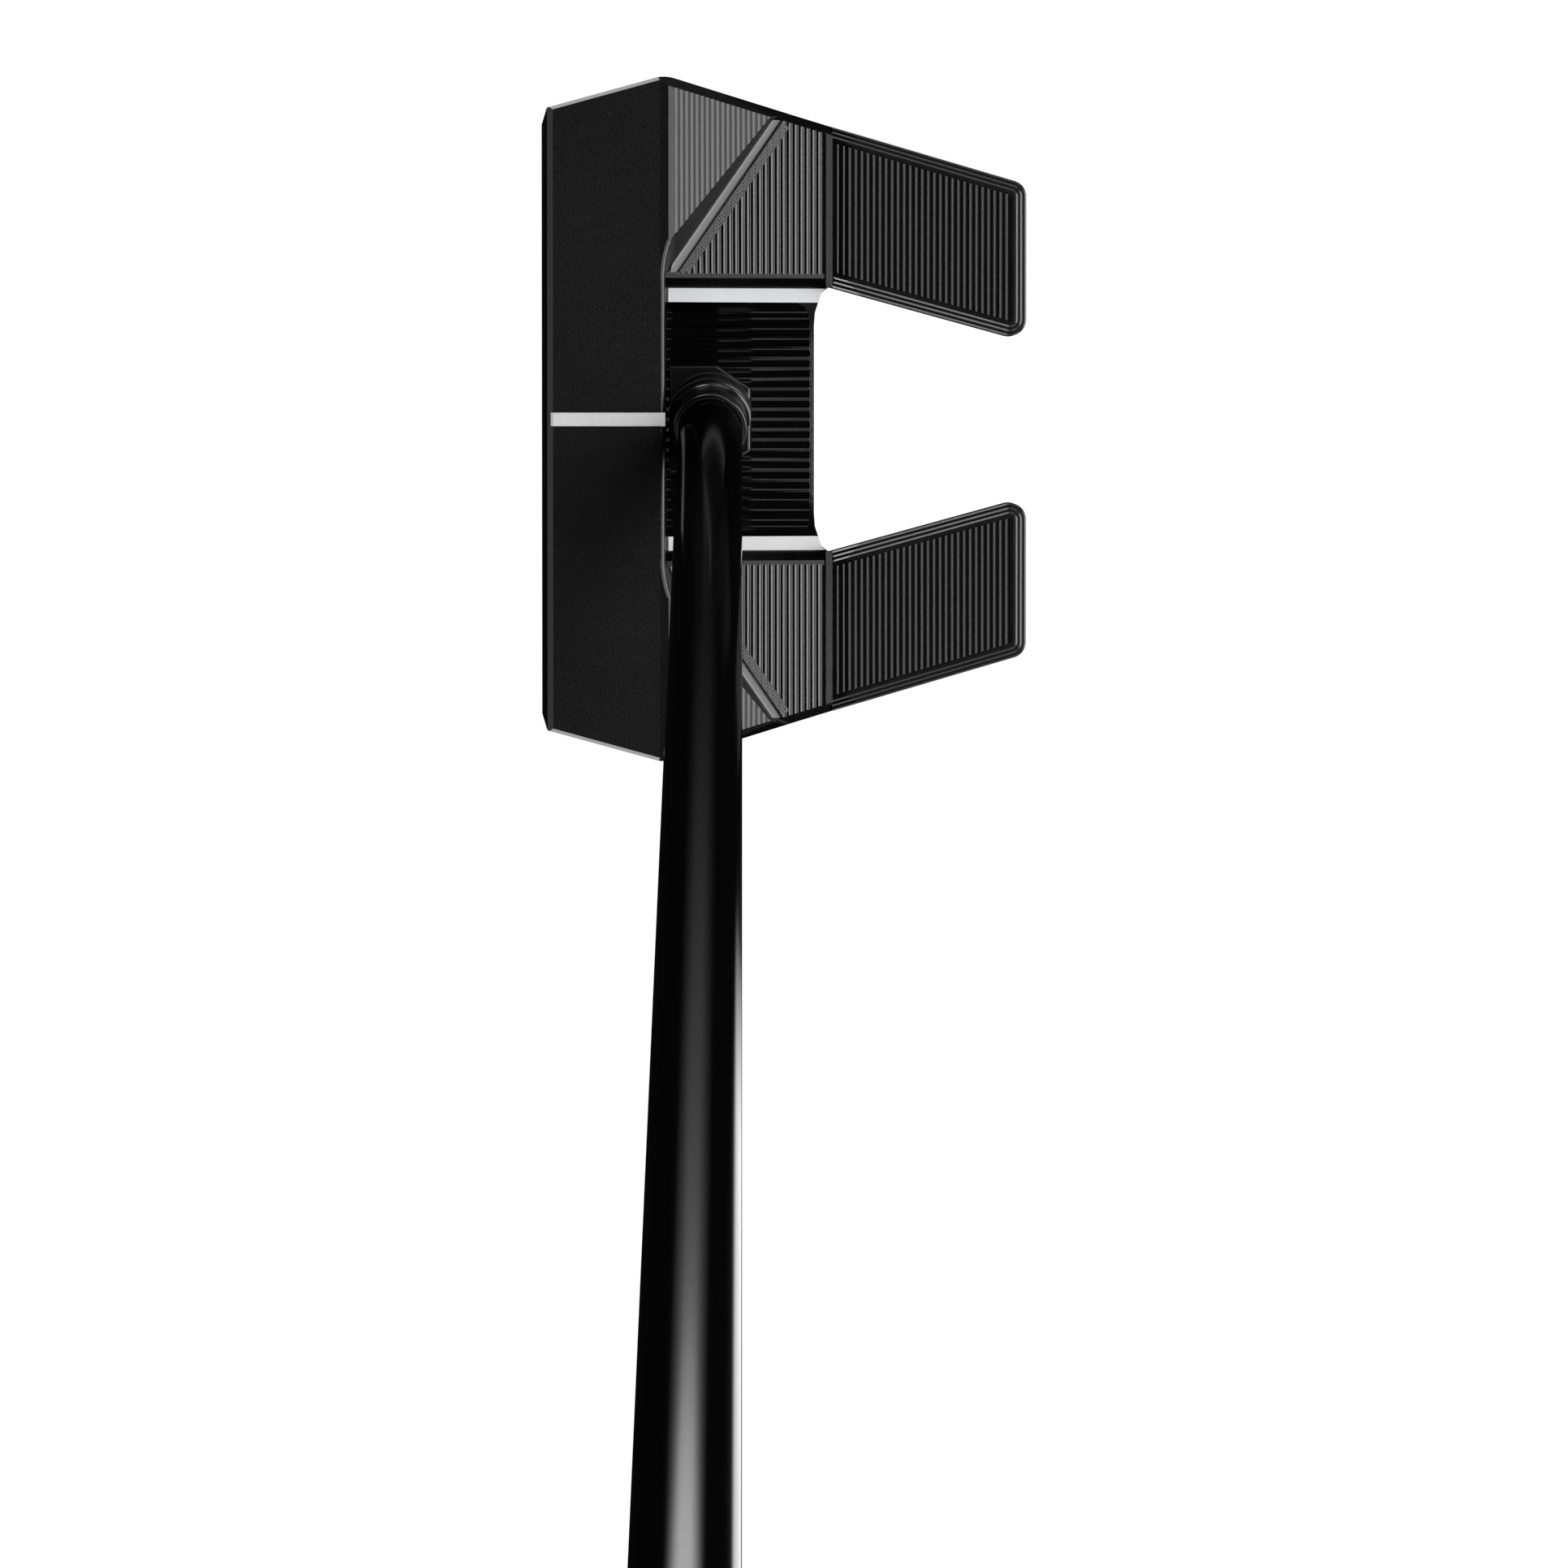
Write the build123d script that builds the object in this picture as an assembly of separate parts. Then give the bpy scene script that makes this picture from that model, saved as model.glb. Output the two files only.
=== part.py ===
"""Mallet putter with two rear wings and a neck at the middle of the head, as separate pieces.

Millimetres. The putter stands as it does at address, with its sole on the ground.
X runs from the toe (-) to the heel (+), Y from the striking face (-) to the rear (+), Z up.
The origin is on the ground, on the flat of the sole, under the middle of the head.
"""

import os
from math import atan2, cos, degrees, pi, radians, sin, tan

from build123d import *

os.makedirs("parts", exist_ok=True)

# ---------------------------------------------------------------- driving dimensions
HEAD_TOP = 25.4  # height of the top line above the ground
LOFT = 3.5  # degrees
LIE = 70.0  # degrees between the shaft and the ground
CLUB_LENGTH = 863.6  # along the shaft from the ground to the end of the grip, 34 in

# plan outline of the heel half; the toe half mirrors it
FACE_Y = -36.2
BAR_BACK_Y = -17.4
FACE_HALF = 45.2
APEX_HALF = 50.36
TIP_Y = 35.8
TIP_OUTER = 34.7
TIP_INNER = 11.6
WING_ROOT = (19.65, 6.6)
LEDGE_END = (18.9, 5.6)
FLOOR_CORNER = (15.9, 4.6)
FLOOR_END_Y = 4.45
APEX_RADIUS = 5.0
TIP_RADIUS = 2.4
FACE_CORNER = 1.4
RIM_BOTTOM = 0.35  # the body's rim stays this far above the ground; the plate touches it
RIM_CHAMFER = 0.7
OUTER_SLOPE = (TIP_OUTER - APEX_HALF) / (TIP_Y - BAR_BACK_Y)  # change of X with Y
INNER_SLOPE = (TIP_INNER - WING_ROOT[0]) / (TIP_Y - WING_ROOT[1])

# milled upper faces: shoulder (beside the top line), deck (behind it), wing field
SHOULDER_START_Y = -16.9
SHOULDER_FALL = tan(radians(26.0))
SHOULDER_PITCH = 0.744 / cos(radians(26.0))
SHOULDER_GROOVE = 0.06  # depth of each cutter mark
DECK_TOP = 22.05  # at the back of the bar
DECK_FALL = tan(radians(18.0))
DECK_PITCH = 0.865 / cos(radians(18.0))
DECK_GROOVE = 0.125
DECK_END_Y = 5.95
WING_START_Y = 7.15
WING_TOP = 13.9
WING_PITCH = 0.889
WING_GROOVE = 0.105
SEAM_WIDTH = 0.25  # groove between deck and wings
SEAM_DEPTH = 0.3
SEAM_STRIP = 0.25  # the plain strip behind the seam starts this far above the wing and falls to it
EDGE_BEVEL = 1.25
EDGE_BEVEL_TILT = 52.0  # degrees
BAR_BEVEL = 0.5
BAR_BEVEL_TILT = 39.0  # degrees
FACE_TOP_BEVEL = 0.8
BACK_ROUND = 0.7

# sloping wall between shoulder and deck
WALL_POINT = (35.9, -8.79, 21.3)
WALL_STRIKE = 28.0  # degrees from X, in plan
WALL_SLOPE = 58.5  # degrees from the ground
WALL_CORNER_RADIUS = 6.0
FOOT_SIDE = 1.15  # the hollow rounding at the foot of the wall reaches this far up and out
HATCH_WIDTH = 1.35
HATCH_PITCH = 0.47
HATCH_DEPTH = 0.05
HATCH_TOP = 0.1  # the ridges stand this far below the deck
HATCH_SPAN = (-19.5, 12.0)  # along the foot, from the wall's known point

# stepped border of each wing
BORDER_STEPS = 3
STEP_FACETS = [(0.24, 0.2), (0.4, 0.02)]  # run and rise of each step, from the edge inwards
MOAT_WIDTH = 0.3
MOAT_DEPTH = 0.28
RIB_START = 0.6  # the ribs start this far behind the wing's front end
WING_RUN_ON = 12.0  # the wing's border runs this far on in front of that end, under the deck

# cavity between the wings, with a painted ledge on each side
LEDGE_INNER = 17.25
LEDGE_OUTER = 19.3
LEDGE_DROP = 2.1  # below the deck
CAVITY_WALL_TOP = 20.8
CAVITY_BEVEL_TOP = 21.6
CAVITY_BEVEL_DEPTH = 0.35
FLOOR_TOP = 7.5
FLOOR_RADIUS = 2.2
CORNER_RIBS = 3
FLOOR_PITCH = 1.505
FLOOR_GROOVE = 0.2  # depth of each cutter mark
FLOOR_END_BEVEL = 0.8
CAVITY_END_Y = 6.2

# alignment paint
LINE_WIDTH = 2.0
PAINT_DEPTH = 0.3
PAINT_START_Y = -17.0
PAINT_SINK = 0.04  # the paint stands this far below the top line

# sole: plate, damping sheet and the pocket that holds them
PLATE_THICK = 3.8
SHEET_THICK = 0.6
SEAT_Z = PLATE_THICK + SHEET_THICK
RIM_WIDTH = 2.0
PLATE_GAP = 0.1
PLATE_FRONT_Y = -30.5
CAMBER_START = 27.0
CAMBER = 1.5  # degrees
HOLLOW = (40.0, 10.0, 12.5)  # lightening pocket inside the bar
HOLLOW_Y = -24.5
HOLLOW_OVERLAP = 0.5  # the hollow opens into the plate's pocket

# screws and sole weights
SCREW_RADIUS = 2.0
SCREW_HEAD_RADIUS = 3.8
SCREW_RECESS = 0.3
SCREW_TOP = 11.4
SCREW_CLEARANCE = 0.15  # round a screw in the plate
SCREW_CHAMFER = 0.4
HEX_ACROSS = 2.5
HEX_DEPTH = 1.3
BODY_SCREWS = [(25.0, 29.0), (31.5, 1.5), (24.5, -25.0)]  # each on both sides
NECK_SCREW_X = 4.0
WEIGHT_POSITION = (38.0, -20.5)
WEIGHT_HEAD_RADIUS = 8.0
WEIGHT_THREAD_RADIUS = 6.0
WEIGHT_RECESS = 0.35
WEIGHT_TOP = 10.8
WEIGHT_EDGE = 0.35
WEIGHT_LEAD_IN = 0.6
WEIGHT_DISH = (3.4, 2.6, 0.5)  # radius at the rim, radius at the bottom, depth
WASHER_THICK = 0.8
WASHER_GAP = 0.2
SPANNER_RADIUS = 1.2
SPANNER_OFFSET = 4.6
SPANNER_DEPTH = 1.8
BORE_SPARE = 0.6  # a threaded hole is this much deeper than its screw
THREAD_GAP = 0.04

# neck
AXIS_Y = -10.8
NECK_TOP = 22.0
NECK_HALF = 7.88
NECK_FRONT_Y = -16.9
NECK_SHOULDER_Y = -9.8
NECK_REAR_Y = -4.9
NECK_REAR_HALF = 4.6
NECK_ROUND = 0.45
COLLAR_RADIUS = 5.45
COLLAR_LENGTH = 4.35
COLLAR_FLARE = 0.95
COLLAR_ROUND = 0.4
BORE_RADIUS = 4.8
BORE_DEPTH = 12.4
WINDOW_GAP = 0.06
COLLAR_ROOT = 3.0  # the collar is drawn from this far below the top of the block

# shaft
SHAFT_TIP_RADIUS = 4.7
SHAFT_BUTT_RADIUS = 7.49
SHAFT_WALL = 0.45
TIP_PARALLEL = 14.0
BUTT_PARALLEL = 180.0
BOND_LENGTH = 11.4
BOND_END_GAP = 0.2  # between the shaft's tip and the bottom of the bore
BOND_SKIN_GAP = 0.001

# grip, sections given as (share of the length from the butt, width, front, back)
GRIP_LENGTH = 267.0
TAPE_THICK = 0.15
SKIN_THICK = 1.1
CAP_THICK = 3.0
GRIP_SECTIONS = [
    (0.00, 26.4, 10.9, 18.6),
    (0.10, 26.6, 11.0, 18.2),
    (0.28, 26.0, 10.9, 15.2),
    (0.55, 23.6, 10.6, 13.2),
    (0.80, 21.2, 10.3, 11.8),
    (1.00, 19.0, 10.0, 10.4),
]
GRIP_FRONT_CORNER = 4.2
GRIP_BACK_ROUND = 0.94  # of half the width
CORE_GAP = 0.02
CAP_INSET = 0.5  # the cap's end is smaller all round by this much
PORT_RADIUS = 7.0
PORT_DEPTH = 2.0
PLUG_GAP = 0.05
PLUG_SINK = 0.3
PLUG_SLOT = (1.4, 8.0, 0.8)  # width, length, depth

# ---------------------------------------------------------------- frames and helpers
AXIS = Vector(cos(radians(LIE)), 0, sin(radians(LIE)))
AXIS_POINT = Vector(0, AXIS_Y, NECK_TOP)
TOE_UP = Vector(-sin(radians(LIE)), 0, cos(radians(LIE)))  # across the shaft, away from the golfer
BUTT = CLUB_LENGTH - NECK_TOP / sin(radians(LIE))  # along the shaft from AXIS_POINT
DECK_NORMAL = Vector(0, DECK_FALL, 1).normalized()
DOWN_DECK = Vector(0, 1, -DECK_FALL).normalized()
BIG = 200.0
REACH = 70.0  # past every edge of the head
UNDER = 5.0  # past the sole


def on_axis(distance):
    """Plane across the shaft at a distance along it, with x towards the toe and up."""
    return Plane(origin=AXIS_POINT + AXIS * distance, x_dir=TOE_UP, z_dir=AXIS)


def beyond(point, normal):
    """Everything on the side of a plane that its normal points to."""
    side = Plane(origin=point, z_dir=normal)
    return side * Box(BIG, BIG, BIG, align=(Align.CENTER, Align.CENTER, Align.MIN))


def block(x0, x1, y0, y1, z0, z1):
    return Pos(x0, y0, z0) * Box(x1 - x0, y1 - y0, z1 - z0, align=(Align.MIN,) * 3)


def pointing(vector, way):
    """The vector, turned round if that makes it point the given way."""
    return vector if vector.dot(Vector(*way)) > 0 else vector * -1


def both_sides(shape):
    return shape + mirror(shape, about=Plane.YZ)


def outer_x(y):
    return APEX_HALF + OUTER_SLOPE * (y - BAR_BACK_Y)


def inner_x(y):
    return WING_ROOT[0] + INNER_SLOPE * (y - WING_ROOT[1])


def shoulder_z(y):
    return HEAD_TOP - SHOULDER_FALL * (y - SHOULDER_START_Y)


def deck_z(y):
    return DECK_TOP - DECK_FALL * (y - BAR_BACK_Y)


def scallops(start, end, pitch, depth):
    """Concave cutter marks from start to end, a whole number of them, as near the pitch as fits."""
    start, end = Vector(start), Vector(end)
    run = end - start
    count = max(1, round(run.length / pitch))
    down = Vector(run.Y, -run.X, 0).normalized() * depth
    step = run * (1 / count)
    return [
        ThreePointArc(start + step * i, start + step * (i + 0.5) + down, start + step * (i + 1))
        for i in range(count)
    ]


def across_x(edges):
    """Solid with the given outline, drawn in Y and Z, running through the head along X."""
    return extrude(Plane.YZ * make_face(edges), amount=BIG / 2, both=True)


def outline(half):
    """Closed face from the points of the heel half, front to rear."""
    points = half + [(-x, y) for x, y in reversed(half)]
    return make_face(Polyline(*points, close=True))


def corners(face, spots):
    """The face's corners that lie at the given spots, on both sides."""
    return [
        v
        for v in face.vertices()
        for x, y in spots
        if abs(abs(v.X) - x) < 0.01 and abs(v.Y - y) < 0.01
    ]


# ---------------------------------------------------------------- head body
def head_outline():
    half = [
        (FACE_HALF, FACE_Y),
        (APEX_HALF, BAR_BACK_Y),
        (TIP_OUTER, TIP_Y),
        (TIP_INNER, TIP_Y),
        WING_ROOT,
        LEDGE_END,
        FLOOR_CORNER,
        (FLOOR_CORNER[0] - 2.0, FLOOR_END_Y),
    ]
    face = outline(half)
    face = fillet(corners(face, [half[1]]), APEX_RADIUS)
    face = fillet(corners(face, [half[2], half[3]]), TIP_RADIUS)
    return chamfer(corners(face, [half[0]]), FACE_CORNER)


def head_blank():
    """The outline as a block, lofted at the face and relieved under the toe and heel."""
    prism = Pos(0, 0, RIM_BOTTOM) * extrude(head_outline(), amount=HEAD_TOP - RIM_BOTTOM)
    base = prism.faces().sort_by(Axis.Z)[0]
    prism = chamfer(base.outer_wire().edges(), RIM_CHAMFER)
    face_normal = (0, -cos(radians(LOFT)), sin(radians(LOFT)))
    prism -= beyond((0, FACE_Y, 0), face_normal)
    top_y = FACE_Y + HEAD_TOP * tan(radians(LOFT))
    prism -= beyond((0, top_y + FACE_TOP_BEVEL, HEAD_TOP), (0, -0.6, 0.8))
    return prism - camber_relief()


def camber_relief():
    rise = radians(CAMBER)
    return both_sides(beyond((CAMBER_START, 0, 0), (sin(rise), 0, -cos(rise))))


def edge_bevel(z_at, fall):
    """Cuts a bevel along the outer edge of a face that falls towards the rear."""
    y = BAR_BACK_Y
    along = Vector(OUTER_SLOPE, 1, -fall).normalized()
    outward = Vector(1, -OUTER_SLOPE, 0).normalized()
    tilt = radians(EDGE_BEVEL_TILT)
    normal = outward * sin(tilt) + Vector(0, 0, 1) * cos(tilt)
    normal -= along * normal.dot(along)
    start = Vector(outer_x(y), y, z_at(y)) - outward * EDGE_BEVEL
    return both_sides(beyond(start, normal))


def wall_normal():
    strike, slope = radians(WALL_STRIKE), radians(WALL_SLOPE)
    flat = Vector(-sin(strike), cos(strike), 0)
    return flat * sin(slope) + Vector(0, 0, 1) * cos(slope)


def behind_wall():
    """The open space behind the bar and the sloping walls, with its corners rounded."""
    space = block(0, REACH, BAR_BACK_Y, REACH, -UNDER, REACH)
    space -= beyond(WALL_POINT, wall_normal() * -1)
    corner = [
        e
        for e in space.edges()
        if abs(e.center().Y - BAR_BACK_Y) < 0.01
        and e.bounding_box().size.X > 1
        and e.bounding_box().size.Z > 1
    ]
    return both_sides(fillet(corner, WALL_CORNER_RADIUS))


def shoulder_level():
    """The bar and the two shoulders beside it."""
    end_y = DECK_END_Y
    start = (SHOULDER_START_Y, HEAD_TOP)
    field = (SHOULDER_START_Y + 1.0, shoulder_z(SHOULDER_START_Y + 1.0))
    end = (end_y, shoulder_z(end_y))
    edges = [
        Line((-REACH, -UNDER), (-REACH, HEAD_TOP)),
        Line((-REACH, HEAD_TOP), start),
        Line(start, field),
        *scallops(field, end, SHOULDER_PITCH, SHOULDER_GROOVE),
        Line(end, (end_y, -UNDER)),
        Line((end_y, -UNDER), (-REACH, -UNDER)),
    ]
    level = head_blank() & across_x(edges)
    level -= edge_bevel(shoulder_z, SHOULDER_FALL)
    return level - bar_bevel()


def bar_bevel():
    """Fine bevel along the toe and heel edges of the bar's top."""
    run = Vector(APEX_HALF - FACE_HALF, BAR_BACK_Y - FACE_Y, 0).normalized()
    outward = Vector(run.Y, -run.X, 0)
    start = Vector(FACE_HALF, FACE_Y, HEAD_TOP) - outward * BAR_BEVEL
    tilt = radians(BAR_BEVEL_TILT)
    return both_sides(beyond(start, outward * sin(tilt) + Vector(0, 0, 1) * cos(tilt)))


def deck_level():
    """The lower faces behind the walls, as far as the wings."""
    front = (BAR_BACK_Y - 2.0, deck_z(BAR_BACK_Y - 2.0))
    end = (DECK_END_Y, deck_z(DECK_END_Y))
    seam_end, seam_z = DECK_END_Y + SEAM_WIDTH, WING_TOP + SEAM_STRIP - SEAM_DEPTH
    below = [
        end,
        (DECK_END_Y, seam_z),
        (seam_end, seam_z),
        (seam_end, WING_TOP + SEAM_STRIP),
        (WING_START_Y, WING_TOP + 0.1),
        (WING_START_Y, -UNDER),
        (front[0], -UNDER),
        front,
    ]
    edges = [
        *scallops(front, end, DECK_PITCH, DECK_GROOVE),
        *[Line(a, b) for a, b in zip(below, below[1:])],
    ]
    level = head_blank() & across_x(edges)
    return level - edge_bevel(deck_z, DECK_FALL)


def wing_outline(inset):
    """One wing's outline with its sides and tip moved in; its front end runs on under the deck."""
    front = WING_START_Y - WING_RUN_ON
    points = [
        (outer_x(front), front),
        (TIP_OUTER, TIP_Y),
        (TIP_INNER, TIP_Y),
        (inner_x(front), front),
    ]
    face = make_face(Polyline(*points, close=True))
    face = fillet([v for v in face.vertices() if v.Y > TIP_Y - 1], TIP_RADIUS)
    return offset(face, amount=-inset) if inset else face


def wings():
    """Both wings, with a border of stepped facets round a ribbed field."""
    facets = STEP_FACETS * BORDER_STEPS
    inset = 0.0
    z = WING_TOP - sum(rise for _, rise in facets)
    wing = Pos(0, 0, RIM_BOTTOM) * extrude(wing_outline(0), amount=z - RIM_BOTTOM)
    for run, rise in facets:
        facet = extrude(wing_outline(inset), amount=rise, taper=degrees(atan2(run, rise)))
        wing += Pos(0, 0, z) * facet
        inset += run
        z += rise
    field = Pos(0, 0, WING_TOP - 1) * extrude(wing_outline(inset + MOAT_WIDTH), amount=2)
    moat = Pos(0, 0, WING_TOP - MOAT_DEPTH) * extrude(wing_outline(inset), amount=2) - field
    start, end = WING_START_Y + RIB_START, TIP_Y - inset - MOAT_WIDTH
    over = WING_TOP + 1
    ribs = [
        Line((start, over), (start, WING_TOP)),
        *scallops((start, WING_TOP), (end, WING_TOP), WING_PITCH, WING_GROOVE),
        Line((end, WING_TOP), (end, over)),
        Line((end, over), (start, over)),
    ]
    groove = block(0, REACH, start - MOAT_WIDTH, start, WING_TOP - MOAT_DEPTH, over)
    wing = wing - moat - (field & across_x(ribs)) - (field & groove)
    wing &= block(0, REACH, WING_START_Y, REACH, -UNDER, REACH)
    wing &= head_blank() + block(0, REACH, WING_START_Y - 1, REACH, RIM_BOTTOM + 2, REACH)
    return both_sides(wing - camber_relief())


def foot_line():
    """Where the sloping wall meets the deck: a point, and the directions along, out and up the wall."""
    along = pointing(wall_normal().cross(DECK_NORMAL).normalized(), (1, 0, 0))
    out = pointing(along.cross(DECK_NORMAL).normalized(), (0, 1, 0))
    up_wall = pointing(along.cross(wall_normal()).normalized(), (0, 0, 1))
    known = Vector(*WALL_POINT)
    fall = (known.Z - deck_z(known.Y)) / (up_wall.Z + DECK_FALL * up_wall.Y)
    return known - up_wall * fall, along, out, up_wall


def foot_rounding():
    """Hollow rounding along the foot of each sloping wall."""
    point, along, out, up_wall = foot_line()
    start = point - along * BIG / 4
    half_angle = radians(out.get_angle(up_wall) / 2)
    middle = (out + up_wall).normalized() * (1 - sin(half_angle)) / cos(half_angle)
    deep = (out + up_wall).normalized() * -1
    across = Plane(origin=start, z_dir=along)
    spots = [out * FOOT_SIDE, middle * FOOT_SIDE, up_wall * FOOT_SIDE, deep]
    low, mid, high, deep = [(p.X, p.Y) for p in (across.to_local_coords(start + s) for s in spots)]
    face = make_face([ThreePointArc(low, mid, high), Line(high, deep), Line(deep, low)])
    rounding = extrude(across * face, amount=BIG / 2)
    rounding &= block(0, REACH, BAR_BACK_Y, REACH, 0, REACH)
    inside = Pos(0, 0, 1) * extrude(head_outline(), amount=HEAD_TOP - 1)
    return both_sides(rounding) - edge_bevel(deck_z, DECK_FALL) & inside


def hatch():
    """Fine cross cuts in a strip along the foot of each sloping wall."""
    point, along, out, _ = foot_line()
    middle = point + out * (FOOT_SIDE + HATCH_WIDTH / 2)
    strip = Plane(origin=middle, x_dir=along, z_dir=DECK_NORMAL)
    first, last = HATCH_SPAN
    teeth = []
    for i in range(int((last - first) / HATCH_PITCH)):
        x = first + i * HATCH_PITCH
        teeth += [(x, -HATCH_TOP), (x + HATCH_PITCH / 2, -HATCH_TOP - HATCH_DEPTH)]
    edge = [*teeth, (last, -HATCH_TOP), (last, 1), (first, 1)]
    profile = Plane.XZ * make_face(Polyline(*edge, close=True))
    cuts = strip * extrude(profile, amount=HATCH_WIDTH / 2, both=True)
    cuts &= block(CAVITY_BEVEL_TOP, REACH, BAR_BACK_Y + HATCH_PITCH, REACH, 0, REACH)
    return both_sides(cuts)


def cavity():
    """The cut between the wings: ledges that fall with the deck, and a ribbed level floor."""
    front_y = BAR_BACK_Y - 8
    section = Plane(origin=(0, front_y, deck_z(front_y)), x_dir=(1, 0, 0), z_dir=DOWN_DECK * -1)
    drop = LEDGE_DROP * DECK_NORMAL.Z
    side = [
        (LEDGE_OUTER, -drop),
        (CAVITY_WALL_TOP, -CAVITY_BEVEL_DEPTH),
        (CAVITY_BEVEL_TOP, 0),
        (CAVITY_BEVEL_TOP, 9),
    ]
    ledges = extrude(section * outline(side), amount=-BIG / 4)
    return (ledges + floor_cut()) & block(-REACH, REACH, BAR_BACK_Y, CAVITY_END_Y, 0, REACH)


def floor_cut():
    """Level floor with ribs along Y that climb the rounded corners."""
    half, r = LEDGE_INNER, FLOOR_RADIUS
    turns = [i * pi / 2 / CORNER_RIBS for i in range(CORNER_RIBS + 1)]
    heel_corner = [(half - r + r * sin(a), FLOOR_TOP + r - r * cos(a)) for a in turns]
    toe_corner = [(-x, z) for x, z in reversed(heel_corner)]
    ribs = scallops(toe_corner[-1], heel_corner[0], FLOOR_PITCH, FLOOR_GROOVE)
    for corner in (toe_corner, heel_corner):
        for a, b in zip(corner, corner[1:]):
            ribs += scallops(a, b, BIG, FLOOR_GROOVE / 2)
    over = [heel_corner[-1], (half, REACH), (-half, REACH), toe_corner[0]]
    face = make_face([*ribs, *[Line(a, b) for a, b in zip(over, over[1:])]])
    cut = extrude(Plane.XZ.offset(-BAR_BACK_Y) * face, amount=-BIG / 4)
    end = beyond((0, FLOOR_END_Y - FLOOR_END_BEVEL, FLOOR_TOP), (0, 1, 1))
    return cut + (end & block(-half, half, 0, REACH, 0, REACH))


def sight_groove():
    half = LINE_WIDTH / 2
    return block(-half, half, FACE_Y, BAR_BACK_Y + 1, HEAD_TOP - PAINT_DEPTH, HEAD_TOP + 1)


def ledge_paint():
    """Paint on the heel ledge, from the bar to the end of the ledge."""
    front_y = BAR_BACK_Y - 8
    start = Vector(0, front_y, deck_z(front_y) - LEDGE_DROP)
    section = Plane(origin=start, x_dir=(1, 0, 0), z_dir=DOWN_DECK * -1)
    strip = [
        (LEDGE_INNER, 0),
        (LEDGE_OUTER, 0),
        (LEDGE_OUTER, -PAINT_DEPTH),
        (LEDGE_INNER, -PAINT_DEPTH),
    ]
    paint = extrude(section * make_face(Polyline(*strip, close=True)), amount=-BIG / 4)
    inside = extrude(head_outline(), amount=HEAD_TOP)
    inside &= block(0, REACH, PAINT_START_Y, CAVITY_END_Y, 0, REACH)
    return (paint & inside).solids()[0]


def neck_outline(gap=0.0):
    half = [
        (NECK_HALF + gap, NECK_FRONT_Y - gap),
        (NECK_HALF + gap, NECK_SHOULDER_Y + gap),
        (NECK_REAR_HALF + gap, NECK_REAR_Y + gap),
    ]
    return outline(half)


def plate_outline(gap=0.0):
    """Outline of the sole plate, or of a looser pocket round it."""
    inner = offset(head_outline(), amount=gap - RIM_WIDTH, kind=Kind.INTERSECTION)
    front = Pos(0, PLATE_FRONT_Y - gap) * Rectangle(BIG, BIG, align=(Align.CENTER, Align.MIN))
    return inner & front


def screw_places():
    return [(side * x, y) for x, y in BODY_SCREWS for side in (-1, 1)]


def weight_places():
    return [(side * WEIGHT_POSITION[0], WEIGHT_POSITION[1]) for side in (-1, 1)]


def post(x, y, radius, z0, z1):
    return Pos(x, y, z0) * Cylinder(radius, z1 - z0, align=(Align.CENTER, Align.CENTER, Align.MIN))


def rounded_back_edge(bar):
    """The bar with the long edge at the back of its flat top rounded."""
    edges = [
        e
        for e in bar.edges()
        if abs(e.center().Y - BAR_BACK_Y) < 0.01
        and abs(e.center().Z - HEAD_TOP) < 0.01
        and e.bounding_box().size.X > 10
    ]
    return fillet(edges, BACK_ROUND)


def head_body():
    shape = rounded_back_edge(shoulder_level() - behind_wall())
    shape += deck_level()
    shape += wings()
    shape += foot_rounding()
    shape -= hatch()
    shape -= cavity()
    shape -= sight_groove()
    shape -= both_sides(ledge_paint())
    shape -= Pos(0, 0, -1) * extrude(plate_outline(PLATE_GAP), amount=SEAT_Z + 1)
    shape -= extrude(neck_outline(WINDOW_GAP), amount=FLOOR_TOP + 4)
    hollow = Box(*HOLLOW, align=(Align.CENTER, Align.CENTER, Align.MIN))
    shape -= Pos(0, HOLLOW_Y, SEAT_Z - HOLLOW_OVERLAP) * hollow
    for x, y in screw_places():
        shape -= post(x, y, SCREW_RADIUS + THREAD_GAP, SEAT_Z - 1, SCREW_TOP + BORE_SPARE)
    for x, y in weight_places():
        shape -= post(x, y, WEIGHT_THREAD_RADIUS + THREAD_GAP, SEAT_Z - 1, WEIGHT_TOP + BORE_SPARE)
    return shape


# ---------------------------------------------------------------- sole pieces
def countersink(x, y):
    """Clearance for one flat-headed screw through the plate."""
    gap = SCREW_CLEARANCE
    depth = SCREW_HEAD_RADIUS - SCREW_RADIUS
    hole = post(x, y, SCREW_RADIUS + gap, -1, SEAT_Z + 1)
    hole += post(x, y, SCREW_HEAD_RADIUS + gap, -1, SCREW_RECESS)
    seat = Cone(
        SCREW_HEAD_RADIUS + gap, SCREW_RADIUS + gap, depth, align=(Align.CENTER, Align.CENTER, Align.MIN)
    )
    return hole + Pos(x, y, SCREW_RECESS) * seat


def neck_screw_places():
    return [(side * NECK_SCREW_X, AXIS_Y) for side in (-1, 1)]


def sole_plate():
    plate = extrude(plate_outline(), amount=PLATE_THICK)
    for x, y in screw_places() + neck_screw_places():
        plate -= countersink(x, y)
    for x, y in weight_places():
        plate -= post(x, y, WEIGHT_HEAD_RADIUS + PLATE_GAP, -1, SEAT_Z)
    return plate - camber_relief()


def damping_sheet():
    sheet = Pos(0, 0, PLATE_THICK) * extrude(plate_outline(), amount=SHEET_THICK)
    for x, y in screw_places():
        sheet -= post(x, y, SCREW_RADIUS + 0.3, 0, SEAT_Z + 1)
    for x, y in weight_places():
        sheet -= post(x, y, WEIGHT_HEAD_RADIUS + 0.2, 0, SEAT_Z + 1)
    return sheet - Pos(0, 0, 1) * extrude(neck_outline(WINDOW_GAP), amount=SEAT_Z)


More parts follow.
